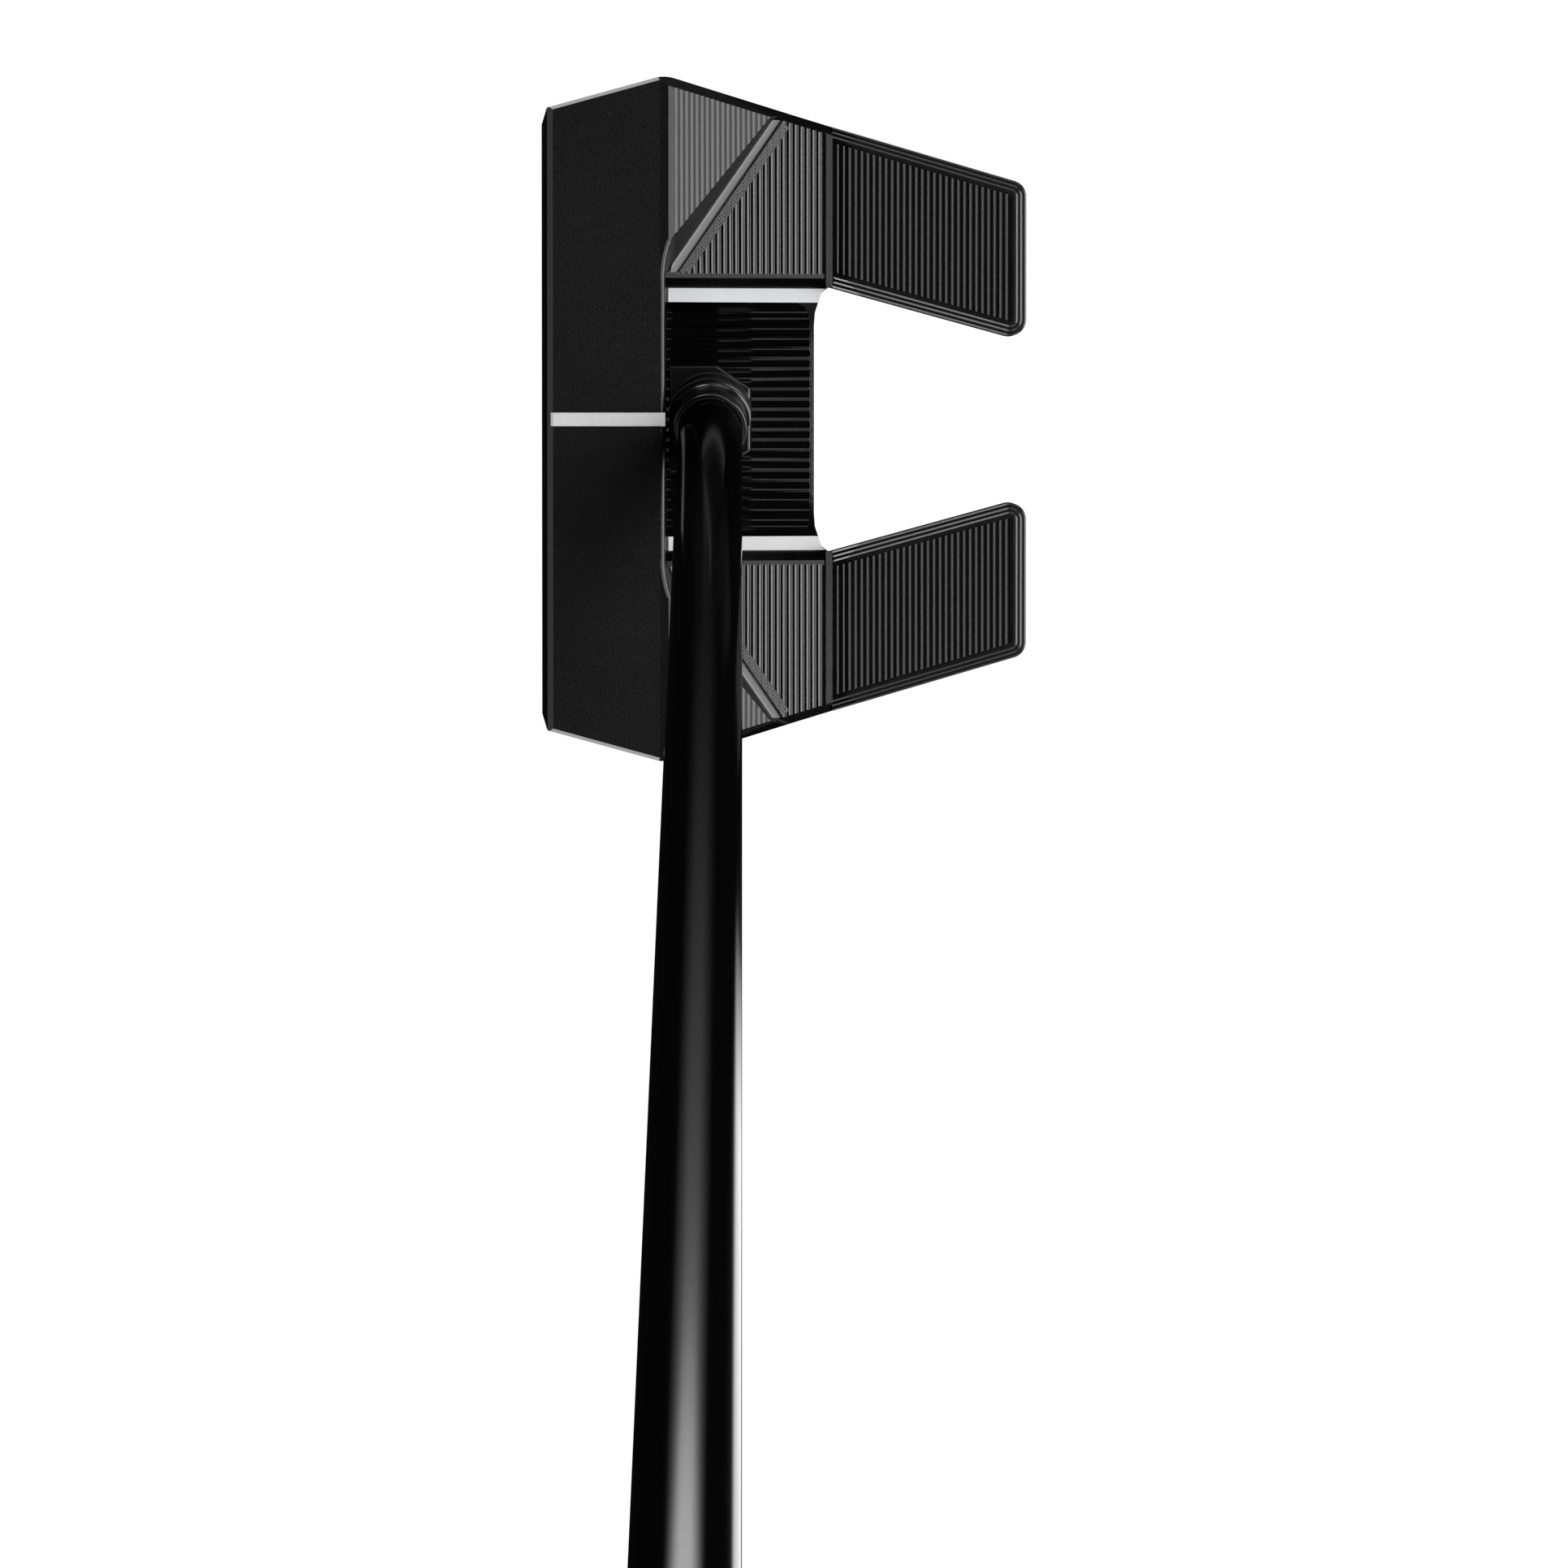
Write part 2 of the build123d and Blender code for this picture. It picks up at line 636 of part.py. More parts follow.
def screw(x, y, top):
    """Flat-headed socket screw standing head down in the plate."""
    depth = SCREW_HEAD_RADIUS - SCREW_RADIUS
    head = Cone(SCREW_HEAD_RADIUS, SCREW_RADIUS, depth, align=(Align.CENTER, Align.CENTER, Align.MIN))
    body = Pos(x, y, SCREW_RECESS) * head
    body += post(x, y, SCREW_RADIUS, SCREW_RECESS + depth - 0.2, top)
    tip = [e for e in body.edges().filter_by(GeomType.CIRCLE) if e.center().Z > top - 0.01]
    body = chamfer(tip, SCREW_CHAMFER)
    socket = extrude(RegularPolygon(HEX_ACROSS / 2, 6, major_radius=False), amount=HEX_DEPTH)
    return body - Pos(x, y, SCREW_RECESS) * socket


def sole_weight(x, y):
    """Threaded weight with a broad head that takes a two-pin key."""
    head_top = SEAT_Z - WASHER_THICK
    weight = post(x, y, WEIGHT_HEAD_RADIUS, WEIGHT_RECESS, head_top)
    rim = [e for e in weight.edges().filter_by(GeomType.CIRCLE) if e.center().Z < WEIGHT_RECESS + 0.01]
    weight = chamfer(rim, WEIGHT_EDGE)
    weight += post(x, y, WEIGHT_THREAD_RADIUS, head_top, WEIGHT_TOP)
    end = [e for e in weight.edges().filter_by(GeomType.CIRCLE) if e.center().Z > WEIGHT_TOP - 0.01]
    weight = chamfer(end, WEIGHT_LEAD_IN)
    z = WEIGHT_RECESS
    for side in (-1, 1):
        weight -= post(x, y + side * SPANNER_OFFSET, SPANNER_RADIUS, z, z + SPANNER_DEPTH)
    return weight - Pos(x, y, z) * Cone(*WEIGHT_DISH, align=(Align.CENTER, Align.CENTER, Align.MIN))


def weight_washer(x, y):
    ring = post(x, y, WEIGHT_HEAD_RADIUS - WASHER_GAP, SEAT_Z - WASHER_THICK, SEAT_Z)
    return ring - post(x, y, WEIGHT_THREAD_RADIUS + WASHER_GAP, 0, SEAT_Z + 1)


# ---------------------------------------------------------------- neck and shaft
def neck_block():
    column = Pos(0, 0, PLATE_THICK) * extrude(neck_outline(), amount=NECK_TOP - PLATE_THICK)
    rim = column.faces().sort_by(Axis.Z)[-1].outer_wire().edges()
    column = fillet(rim, NECK_ROUND)
    flare_end = COLLAR_RADIUS + COLLAR_FLARE
    low = -COLLAR_ROOT
    mouth = (COLLAR_RADIUS - COLLAR_ROUND, COLLAR_LENGTH)
    profile = [
        Line((0, low), (flare_end, low)),
        Line((flare_end, low), (flare_end, 0)),
        RadiusArc((flare_end, 0), (COLLAR_RADIUS, COLLAR_FLARE), COLLAR_FLARE),
        Line((COLLAR_RADIUS, COLLAR_FLARE), (COLLAR_RADIUS, COLLAR_LENGTH - COLLAR_ROUND)),
        RadiusArc((COLLAR_RADIUS, COLLAR_LENGTH - COLLAR_ROUND), mouth, -COLLAR_ROUND),
        Line(mouth, (0, COLLAR_LENGTH)),
        Line((0, COLLAR_LENGTH), (0, low)),
    ]
    collar = revolve(Plane.XZ * make_face(profile), Axis.Z, 360)
    collar = on_axis(0).location * collar
    reach = extrude(neck_outline(), amount=NECK_TOP + 20)
    above = reach & block(-REACH, REACH, -REACH, REACH, NECK_TOP - 2, REACH)
    shape = column + (collar & above)
    bore = Cylinder(BORE_RADIUS, BORE_DEPTH + 10, align=(Align.CENTER, Align.CENTER, Align.MIN))
    shape -= on_axis(COLLAR_LENGTH - BORE_DEPTH).location * bore
    for x, y in neck_screw_places():
        shape -= post(x, y, SCREW_RADIUS + THREAD_GAP, 0, SCREW_TOP)
    return shape


def turned(profile):
    """Solid turned about the shaft's axis from (distance along it, radius) points."""
    points = [(radius, along) for along, radius in profile]
    face = make_face(Polyline(*points, close=True))
    return on_axis(0).location * revolve(Plane.XZ * face, Axis.Z, 360)


def shaft_radius(along):
    """Outer radius of the shaft at a distance along its axis."""
    start = COLLAR_LENGTH - BORE_DEPTH + TIP_PARALLEL
    end = BUTT - BUTT_PARALLEL
    share = min(1.0, max(0.0, (along - start) / (end - start)))
    return SHAFT_TIP_RADIUS + (SHAFT_BUTT_RADIUS - SHAFT_TIP_RADIUS) * share


SHAFT_START = COLLAR_LENGTH - BORE_DEPTH + BOND_END_GAP
SHAFT_END = BUTT - CAP_THICK


def shaft():
    stops = [SHAFT_START, COLLAR_LENGTH - BORE_DEPTH + TIP_PARALLEL, BUTT - BUTT_PARALLEL, SHAFT_END]
    outside = [(a, shaft_radius(a)) for a in stops]
    inside = [(a, r - SHAFT_WALL) for a, r in reversed(outside)]
    return turned(outside + inside)


def shaft_epoxy():
    end = SHAFT_START + BOND_LENGTH
    inner, outer = SHAFT_TIP_RADIUS + BOND_SKIN_GAP, BORE_RADIUS - BOND_SKIN_GAP
    return turned([(SHAFT_START, inner), (SHAFT_START, outer), (end, outer), (end, inner)])


# ---------------------------------------------------------------- grip
def grip_section(share, shrink):
    """Flat-fronted cross-section of the grip, drawn in by the given amount."""
    for low, high in zip(GRIP_SECTIONS, GRIP_SECTIONS[1:]):
        if low[0] <= share <= high[0]:
            t = (share - low[0]) / (high[0] - low[0])
            width, front, back = [a + (b - a) * t for a, b in zip(low[1:], high[1:])]
            break
    half, front, back = width / 2 - shrink, front - shrink, back - shrink
    points = [(front, -half), (front, half), (-back, half), (-back, -half)]
    face = make_face(Polyline(*points, close=True))
    face = fillet([v for v in face.vertices() if v.X > 0], GRIP_FRONT_CORNER - shrink * 0.6)
    rear = [v for v in face.vertices() if v.X < -back + 0.01]
    return on_axis(BUTT - share * GRIP_LENGTH).location * fillet(rear, half * GRIP_BACK_ROUND)


def grip_loft(shrink, first=0.0):
    shares = [first] + [s[0] for s in GRIP_SECTIONS[1:]]
    return loft([grip_section(share, shrink) for share in shares])


def along_shaft(stops, extra):
    """Points of the shaft's outside at the stops, moved out by the given amount."""
    return [(a, shaft_radius(a) + extra) for a in stops]


def grip_core():
    stops = [BUTT - GRIP_LENGTH - 20, BUTT - BUTT_PARALLEL, BUTT + 5]
    hole = turned(along_shaft(stops, TAPE_THICK + CORE_GAP) + [(stops[-1], 0), (stops[0], 0)])
    return grip_loft(SKIN_THICK + CORE_GAP, CAP_THICK / GRIP_LENGTH) - hole


def grip_skin():
    first = CAP_THICK / GRIP_LENGTH
    return grip_loft(0.0, first) - grip_loft(SKIN_THICK, first)


def grip_tape():
    stops = [BUTT - GRIP_LENGTH + 1, BUTT - BUTT_PARALLEL, SHAFT_END]
    inside = along_shaft(stops, CORE_GAP / 2)
    outside = along_shaft(reversed(stops), TAPE_THICK)
    return turned(inside + outside)


def disc(low, high, radius):
    """Solid disc across the shaft's axis, between two distances along it."""
    return turned([(high, 0), (high, radius), (low, radius), (low, 0)])


def grip_end_cap():
    cap = loft([grip_section(0.0, CAP_INSET), grip_section(CAP_THICK / GRIP_LENGTH, 0.0)])
    return cap - disc(BUTT - PORT_DEPTH, BUTT + 1, PORT_RADIUS)


def grip_cap_plug():
    """Screwed plug with a slot for a coin."""
    top = BUTT - PLUG_SINK
    plug = disc(BUTT - PORT_DEPTH, top, PORT_RADIUS - PLUG_GAP)
    slot = Box(*PLUG_SLOT, align=(Align.CENTER, Align.CENTER, Align.MAX))
    return plug - on_axis(top).location * slot


# ---------------------------------------------------------------- write the pieces
heel_paint = ledge_paint()
sight_line = sight_groove() & (Pos(0, 0, -PAINT_SINK) * head_blank())
(toe_x, toe_y), (heel_x, heel_y) = weight_places()
pieces = {
    "head_body": head_body(),
    "sole_plate": sole_plate(),
    "damping_sheet": damping_sheet(),
    "body_screws": Compound([screw(x, y, SCREW_TOP).solid() for x, y in screw_places()]),
    "toe_weight": sole_weight(toe_x, toe_y),
    "heel_weight": sole_weight(heel_x, heel_y),
    "toe_weight_washer": weight_washer(toe_x, toe_y),
    "heel_weight_washer": weight_washer(heel_x, heel_y),
    "neck_block": neck_block(),
    "neck_screws": Compound([screw(x, y, SCREW_TOP - 0.5).solid() for x, y in neck_screw_places()]),
    "topline_sight_line": sight_line & block(-REACH, REACH, FACE_Y, BAR_BACK_Y, 0, REACH),
    "heel_sight_line": heel_paint,
    "toe_sight_line": mirror(heel_paint, about=Plane.YZ),
    "shaft": shaft(),
    "shaft_epoxy": shaft_epoxy(),
    "grip_skin": grip_skin(),
    "grip_core": grip_core(),
    "grip_tape": grip_tape(),
    "grip_end_cap": grip_end_cap(),
    "grip_cap_plug": grip_cap_plug(),
}
for name, piece in pieces.items():
    export_step(piece, f"parts/{name}.step")
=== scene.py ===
from math import pi, radians, sin

import bmesh
import bpy
from mathutils import Matrix, Vector


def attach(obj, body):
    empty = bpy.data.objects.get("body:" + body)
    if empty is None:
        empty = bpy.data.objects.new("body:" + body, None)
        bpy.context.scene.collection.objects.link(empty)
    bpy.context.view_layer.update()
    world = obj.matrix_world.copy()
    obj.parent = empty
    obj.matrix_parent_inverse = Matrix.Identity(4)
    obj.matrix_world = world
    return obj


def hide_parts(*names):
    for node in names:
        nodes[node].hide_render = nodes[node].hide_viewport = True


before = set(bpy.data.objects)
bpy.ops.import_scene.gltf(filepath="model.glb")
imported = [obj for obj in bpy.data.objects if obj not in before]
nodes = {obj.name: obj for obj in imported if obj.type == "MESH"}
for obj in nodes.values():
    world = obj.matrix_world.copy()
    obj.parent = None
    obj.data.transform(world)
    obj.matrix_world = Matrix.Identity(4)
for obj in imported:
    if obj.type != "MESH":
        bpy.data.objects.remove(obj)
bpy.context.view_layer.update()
mm = 0.001
near = 0.01 * mm  # points closer than this are in one place


# how the club stands: the shaft's axis, and a frame with Z along it and -X towards the toe
club = {
    "lie": radians(70),  # between the shaft and the ground
    "axisY": -10.8 * mm,  # the shaft stands this far in front of the middle of the head
    "neckTop": 22.0 * mm,
    "length": 863.6 * mm,  # along the shaft, ground to butt
    "gripLength": 267 * mm,
}
axisFoot = Vector((0, club["axisY"], club["neckTop"]))
axisTurn = pi / 2 - club["lie"]  # the shaft leans this far from upright, about Y
butt = club["length"] - club["neckTop"] / sin(club["lie"])  # along the shaft, from its foot
shaftFrame = Matrix.Translation(axisFoot) @ Matrix.Rotation(axisTurn, 4, "Y")


# small tools for modelling

def selectNothing():
    if bpy.context.object and bpy.context.object.mode != "OBJECT":
        bpy.ops.object.mode_set(mode="OBJECT")
    bpy.ops.object.select_all(action="DESELECT")


def makeActive(piece):
    selectNothing()
    piece.select_set(True)
    bpy.context.view_layer.objects.active = piece


def named(name):  # the primitive just added gets its name
    piece = bpy.context.object
    piece.name = name
    piece.data.name = name
    return piece


def editMode(piece):
    makeActive(piece)
    bpy.ops.object.mode_set(mode="EDIT")
    bpy.ops.mesh.select_all(action="DESELECT")


def selectPoints(piece, wanted):  # in edit mode, every vertex whose place is wanted
    bpy.ops.mesh.select_mode(type="VERT")
    mesh = bmesh.from_edit_mesh(piece.data)
    for vertex in mesh.verts:
        vertex.select = wanted(vertex.co)
    mesh.select_flush_mode()
    bmesh.update_edit_mesh(piece.data)


def normalsOut(piece):
    editMode(piece)
    bpy.ops.mesh.select_all(action="SELECT")
    bpy.ops.mesh.remove_doubles(threshold=0.001 * mm)
    bpy.ops.mesh.normals_make_consistent(inside=False)
    bpy.ops.object.mode_set(mode="OBJECT")


def applyModifier(piece, kind, **settings):
    makeActive(piece)
    modifier = piece.modifiers.new(kind.title(), kind)
    for key, value in settings.items():
        setattr(modifier, key, value)
    bpy.ops.object.modifier_apply(modifier=modifier.name)


def cutAway(piece, cutter):
    makeActive(cutter)
    bpy.ops.object.transform_apply(location=True, rotation=True, scale=True)
    applyModifier(piece, "BOOLEAN", operation="DIFFERENCE", object=cutter)
    bpy.data.objects.remove(cutter)


def toShaft(piece):  # from upright at the origin to the shaft's own place
    makeActive(piece)
    piece.matrix_world = shaftFrame @ piece.matrix_world
    bpy.ops.object.transform_apply(location=True, rotation=True, scale=True)


def smoothByAngle(piece, degrees):
    makeActive(piece)
    bpy.ops.object.shade_smooth_by_angle(angle=radians(degrees))


def finishPiece(piece, node):  # it stands for a node of the frame and takes its finish
    toShaft(piece)
    piece.data.materials.clear()
    piece.data.materials.append(finishes[node])
    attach(piece, "root")
    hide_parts(node)


# shader arithmetic: each operator on a Value adds a Math node

class Value:
    def __init__(self, finish, socket):
        self.finish = finish
        self.socket = socket

    def math(self, operation, *values):
        return self.finish.add("ShaderNodeMath", {"operation": operation}, dict(enumerate(values)))

    def __add__(self, other):
        return self.math("ADD", self, other)

    def __sub__(self, other):
        return self.math("SUBTRACT", self, other)

    def __rsub__(self, other):
        return self.math("SUBTRACT", other, self)

    def __mul__(self, other):
        return self.math("MULTIPLY", self, other)

    def __truediv__(self, other):
        return self.math("DIVIDE", self, other)

    def __pow__(self, other):
        return self.math("POWER", self, other)

    __radd__ = __add__
    __rmul__ = __mul__

    def sine(self):
        return self.math("SINE", self)

    def size(self):
        return self.math("ABSOLUTE", self)

    def root(self):
        return self.math("SQRT", self)

    def angle(self, other):  # of the point (other, self)
        return self.math("ARCTAN2", self, other)

    def above(self, limit):
        return self.math("GREATER_THAN", self, limit)

    def clipped(self):
        return self.math("MINIMUM", self.math("MAXIMUM", self, 0.0), 1.0)

    def between(self, low, high, soft):  # 1 inside, fading over soft at each end
        rise = ((self - low) / soft).clipped()
        fall = ((high - self) / soft).clipped()
        return rise * fall


class Finish:  # one material, and short names for the nodes that it is made of
    def __init__(self, name, **constants):
        self.material = bpy.data.materials.new(name)
        self.material.use_nodes = True
        self.tree = self.material.node_tree
        self.shader = self.tree.nodes["Principled BSDF"]
        for socket, value in constants.items():
            self.shader.inputs[socket.replace("_", " ")].default_value = value

    def add(self, kind, settings=None, sockets=None, output=0):
        node = self.tree.nodes.new(kind)
        for key, value in (settings or {}).items():
            if key == "stops":
                self.setStops(node.color_ramp, value)
            else:
                setattr(node, key, value)
        for key, value in (sockets or {}).items():
            if isinstance(value, Value):
                self.tree.links.new(value.socket, node.inputs[key])
            else:
                node.inputs[key].default_value = value
        return Value(self, node.outputs[output])

    def setStops(self, ramp, stops):
        while len(ramp.elements) < len(stops):
            ramp.elements.new(1)
        for element, (position, level) in zip(ramp.elements, stops):
            element.position = position
            element.color = (level, level, level, 1)

    def feed(self, socket, value):
        self.tree.links.new(value.socket, self.shader.inputs[socket])

    def place(self, stretch=(1, 1, 1), turn=(0, 0, 0)):  # the point on the piece, as a texture sees it
        where = self.add("ShaderNodeTexCoord", output="Object")
        return self.stretched(where, stretch, turn)

    def alongShaft(self):  # the point in the shaft's frame
        where = self.add("ShaderNodeTexCoord", output="Object")
        sockets = {"Vector": where, "Location": tuple(axisFoot), "Rotation": (0, axisTurn, 0)}
        return self.add("ShaderNodeMapping", {"vector_type": "TEXTURE"}, sockets)

    def stretched(self, where, stretch, turn=(0, 0, 0)):
        sockets = {"Vector": where, "Rotation": turn, "Scale": stretch}
        return self.add("ShaderNodeMapping", {"vector_type": "POINT"}, sockets)

    def noise(self, where, scale, detail=2.0, roughness=0.5):
        sockets = {"Vector": where, "Scale": scale, "Detail": detail, "Roughness": roughness}
        return self.add("ShaderNodeTexNoise", None, sockets)

    def cells(self, where, scale):
        sockets = {"Vector": where, "Scale": scale}
        return self.add("ShaderNodeTexVoronoi", {"feature": "F1"}, sockets)

    def parts(self, vector):
        split = self.add("ShaderNodeSeparateXYZ", None, {"Vector": vector})
        node = split.socket.node
        return [Value(self, node.outputs[axis]) for axis in "XYZ"]

    def steps(self, value, stops):
        return self.add("ShaderNodeValToRGB", {"stops": stops}, {"Fac": value})

    def blend(self, share, low, high):  # a colour between two
        settings = {"data_type": "RGBA"}
        node = self.add("ShaderNodeMix", settings, {"Factor": share}).socket.node
        for socket, value in ((node.inputs[6], low), (node.inputs[7], high)):
            if isinstance(value, Value):
                self.tree.links.new(value.socket, socket)
            else:
                socket.default_value = value
        return Value(self, node.outputs[2])

    def relief(self, height, distance, base=None):
        sockets = {"Height": height, "Distance": distance}
        if base:
            sockets["Normal"] = base
        return self.add("ShaderNodeBump", None, sockets)

    def facing(self):  # the surface's own normal
        return self.add("ShaderNodeNewGeometry", output="Normal")

    def edges(self, radius, full, start=0.02):  # 0 on flat faces, 1 where the surface turns sharply
        rounded = self.add("ShaderNodeBevel", {"samples": 4}, {"Radius": radius})
        settings = {"operation": "DOT_PRODUCT"}
        sockets = {0: rounded, 1: self.facing()}
        dot = self.add("ShaderNodeVectorMath", settings, sockets, output="Value")
        return self.steps(1 - dot, [(start, 0.0), (full, 1.0)])


def grey(level, tint=0.0):  # a positive tint is cooler
    return (level * (1 - tint), level, level * (1 + tint), 1)


# on the head body the lighter edges are partly rubbed black and partly a painted highlight where the
# edges catch the light; on the sole they are wear
edgeWearAndHighlight = {"reach": 0.12 * mm, "full": 0.3}  # how far from an edge the black is rubbed, and how easily


# head body: bead-blasted bar and sides, bright-milled faces behind the bar, cutter arcs on the face
anodised = {
    "dark": 0.001,
    "light": 0.0022,
    "worn": 0.06,
    "milledRoughness": 0.16,
    "cavityRoughness": 0.11,  # the low floor between the wings, and what else lies as low
    "shoulderRoughness": 0.31,  # the two sloping faces beside the bar
    "blastedRoughness": 0.35,
    "faceRoughness": 0.22,
    "blastedBackY": -18.2 * mm,  # the blasted bar ends here
    "bevelFacing": (0.3, 0.985),  # how much a bevel faces up, between 0 for upright and 1 for level
    "faceFacing": 0.97,  # the striking face faces forward more than this
    "deckStartY": -17.4 * mm,  # the lower faces start here, this high, and fall this fast
    "deckTop": 22.05 * mm,
    "deckFall": 0.325,
    "shoulderRise": 0.5 * mm,  # what stands more than this over them is a shoulder
    "cavityTop": 9.5 * mm,
    "grain": 0.17 * mm,
    "grainDepth": 0.03 * mm,
    "toolPitch": 0.12 * mm,  # fine feed lines inside each cutter mark
    "toolDepth": 0.0004 * mm,
    "faceArcPitch": 0.9 * mm,
    "faceArcDepth": 0.02 * mm,
    "faceArcCentreZ": -38 * mm,
}


def makeAnodised():
    finish = Finish("blackAnodisedAluminium", Specular_IOR_Level=0.5)
    where = finish.place()
    x, y, z = finish.parts(where)
    facingY, facingZ = finish.parts(finish.facing())[1:]
    onBar = 1 - y.above(anodised["blastedBackY"])
    steep, level = anodised["bevelFacing"]
    bevel = facingZ.between(steep, level, 0.01)
    blasted = onBar * (1 - bevel)
    deckZ = anodised["deckTop"] - (y - anodised["deckStartY"]) * anodised["deckFall"]
    shoulder = (z - deckZ).above(anodised["shoulderRise"]) * (1 - onBar)
    face = (0 - facingY).above(anodised["faceFacing"]) * onBar
    cavity = (1 - z.above(anodised["cavityTop"])) * (1 - onBar)
    cloud = finish.noise(where, 60, 3)
    grain = finish.noise(where, 1 / anodised["grain"], 2)
    handling = finish.noise(finish.place(stretch=(1, 0.35, 1), turn=(0, 0, 0.4)), 420, 4, 0.65)
    edge = finish.edges(edgeWearAndHighlight["reach"], edgeWearAndHighlight["full"])

    # colour: black dye, a little uneven, lighter along the edges in patches: partly rubbed thin, partly
    # a painted highlight where the edges catch the light
    base = finish.blend(cloud, grey(anodised["dark"], 0.02), grey(anodised["light"], 0.02))
    # the lighter edge is partly wear and partly a painted highlight
    rubbed = edge * finish.steps(handling, [(0.35, 0.15), (0.65, 1.0)])
    finish.feed("Base Color", finish.blend(rubbed * 0.5, base, grey(anodised["worn"])))

    # roughness: blasted or milled, with faint finger marks
    milled = anodised["milledRoughness"]
    roughness = milled - 0.04 + blasted * (anodised["blastedRoughness"] - milled)
    roughness = roughness + shoulder * (anodised["shoulderRoughness"] - milled)
    roughness = roughness + face * (anodised["faceRoughness"] - anodised["blastedRoughness"])
    roughness = roughness + cavity * (anodised["cavityRoughness"] - milled)
    marks = finish.steps(handling, [(0.55, 0.0), (0.75, 1.0)])
    finish.feed("Roughness", roughness + cloud * 0.05 + (grain - 0.5) * 0.16 + marks * 0.04)

    # relief: blasted grain, feed lines on the milled faces, arcs on the striking face
    lines = (x * (2 * pi / anodised["toolPitch"])).sine()
    arcRadius = (x * x + (z - anodised["faceArcCentreZ"]) ** 2).root()
    arcs = (arcRadius * (2 * pi / anodised["faceArcPitch"])).sine().size()
    fine = finish.relief(grain * (blasted * 0.85 + 0.15), anodised["grainDepth"])
    fed = finish.relief(lines * (1 - blasted), anodised["toolDepth"], fine)
    finish.feed("Normal", finish.relief(arcs * face, anodised["faceArcDepth"], fed))
    return finish.material


blackSteel = {
    "level": 0.002,
    "worn": 0.12,
    # the block's lighter edges are partly wear and partly a painted highlight where the edges catch the
    # light
    "wearReach": 0.3 * mm,  # the block's edges are rubbed farther in than the body's
    "wearFull": 0.2,
    "roughness": 0.24,
    "grain": 0.14 * mm,
    "depth": 0.002 * mm,
}


def makeNeckSteel():
    finish = Finish("blackNeckSteel", Specular_IOR_Level=0.5)
    where = finish.place()
    cloud = finish.noise(where, 110, 3)
    grain = finish.noise(where, 1 / blackSteel["grain"], 2)
    edge = finish.edges(blackSteel["wearReach"], blackSteel["wearFull"])
    level = blackSteel["level"]
    base = finish.blend(cloud, grey(level * 0.8), grey(level * 1.25))
    # lighter along the edges: partly wear, partly a painted highlight
    finish.feed("Base Color", finish.blend(edge * 0.6, base, grey(blackSteel["worn"])))
    finish.feed("Roughness", blackSteel["roughness"] - 0.05 + cloud * 0.06 + grain * 0.06)
    finish.feed("Normal", finish.relief(grain, blackSteel["depth"]))
    return finish.material


soleBrushing = {
    "level": 0.035,
    "roughness": 0.3,
    "grain": 0.07 * mm,
    "length": 60,  # each brush mark is this many times as long as it is wide
    "depth": 0.003 * mm,
    "scuffDepth": 0.004 * mm,
}


def makeSoleSteel():  # brushed from toe to heel, and scuffed by the turf
    finish = Finish("brushedSoleSteel", Metallic=0.6)
    stretch = (1 / soleBrushing["length"], 1, 1)
    brushed = finish.noise(finish.place(stretch), 1 / soleBrushing["grain"], 3, 0.6)
    scuffs = finish.noise(finish.place((1, 0.05, 1), (0, 0, 0.3)), 700, 4, 0.7)
    scuffed = finish.steps(scuffs, [(0.6, 0.0), (0.72, 1.0)])
    edge = finish.edges(edgeWearAndHighlight["reach"], edgeWearAndHighlight["full"])
    level = soleBrushing["level"]
    base = finish.blend(brushed, grey(level * 0.6), grey(level * 1.5))
    finish.feed("Base Color", finish.blend((edge * 0.5 + scuffed * 0.4).clipped(), base, grey(0.2)))
    finish.feed("Roughness", soleBrushing["roughness"] + brushed * 0.15 + scuffed * 0.1)
    fine = finish.relief(brushed, soleBrushing["depth"])
    finish.feed("Normal", finish.relief(1 - scuffed, soleBrushing["scuffDepth"], fine))
    return finish.material


turnedSteel = {
    "x": 38.0 * mm,  # the weights stand this far to either side of the middle
    "y": -20.5 * mm,
    "ringPitch": 0.16 * mm,
    "ringDepth": 0.0025 * mm,
    "scratchDepth": 0.002 * mm,
}


def makeTurnedSteel():  # rings of the lathe tool about each weight's own middle
    finish = Finish("turnedWeightSteel", Metallic=1.0)
    where = finish.place()
    x, y = finish.parts(where)[:2]
    fromMiddle = ((x.size() - turnedSteel["x"]) ** 2 + (y - turnedSteel["y"]) ** 2).root()
    rings = (fromMiddle * (2 * pi / turnedSteel["ringPitch"])).sine()
    cloud = finish.noise(where, 300, 3)
    scratches = finish.noise(finish.place((1, 0.08, 1), (0, 0, 0.7)), 1500, 3, 0.7)
    scratched = finish.steps(scratches, [(0.62, 0.0), (0.7, 1.0)])
    finish.feed("Base Color", finish.blend(cloud, grey(0.34), grey(0.5, 0.01)))
    finish.feed("Roughness", 0.22 + cloud * 0.12 + scratched * 0.1)
    turned = finish.relief(rings, turnedSteel["ringDepth"])
    finish.feed("Normal", finish.relief(1 - scratched, turnedSteel["scratchDepth"], turned))
    return finish.material


oxideSteel = {"wearReach": 0.1 * mm, "wearStart": 0.03, "wearFull": 0.3, "grainDepth": 0.002 * mm}


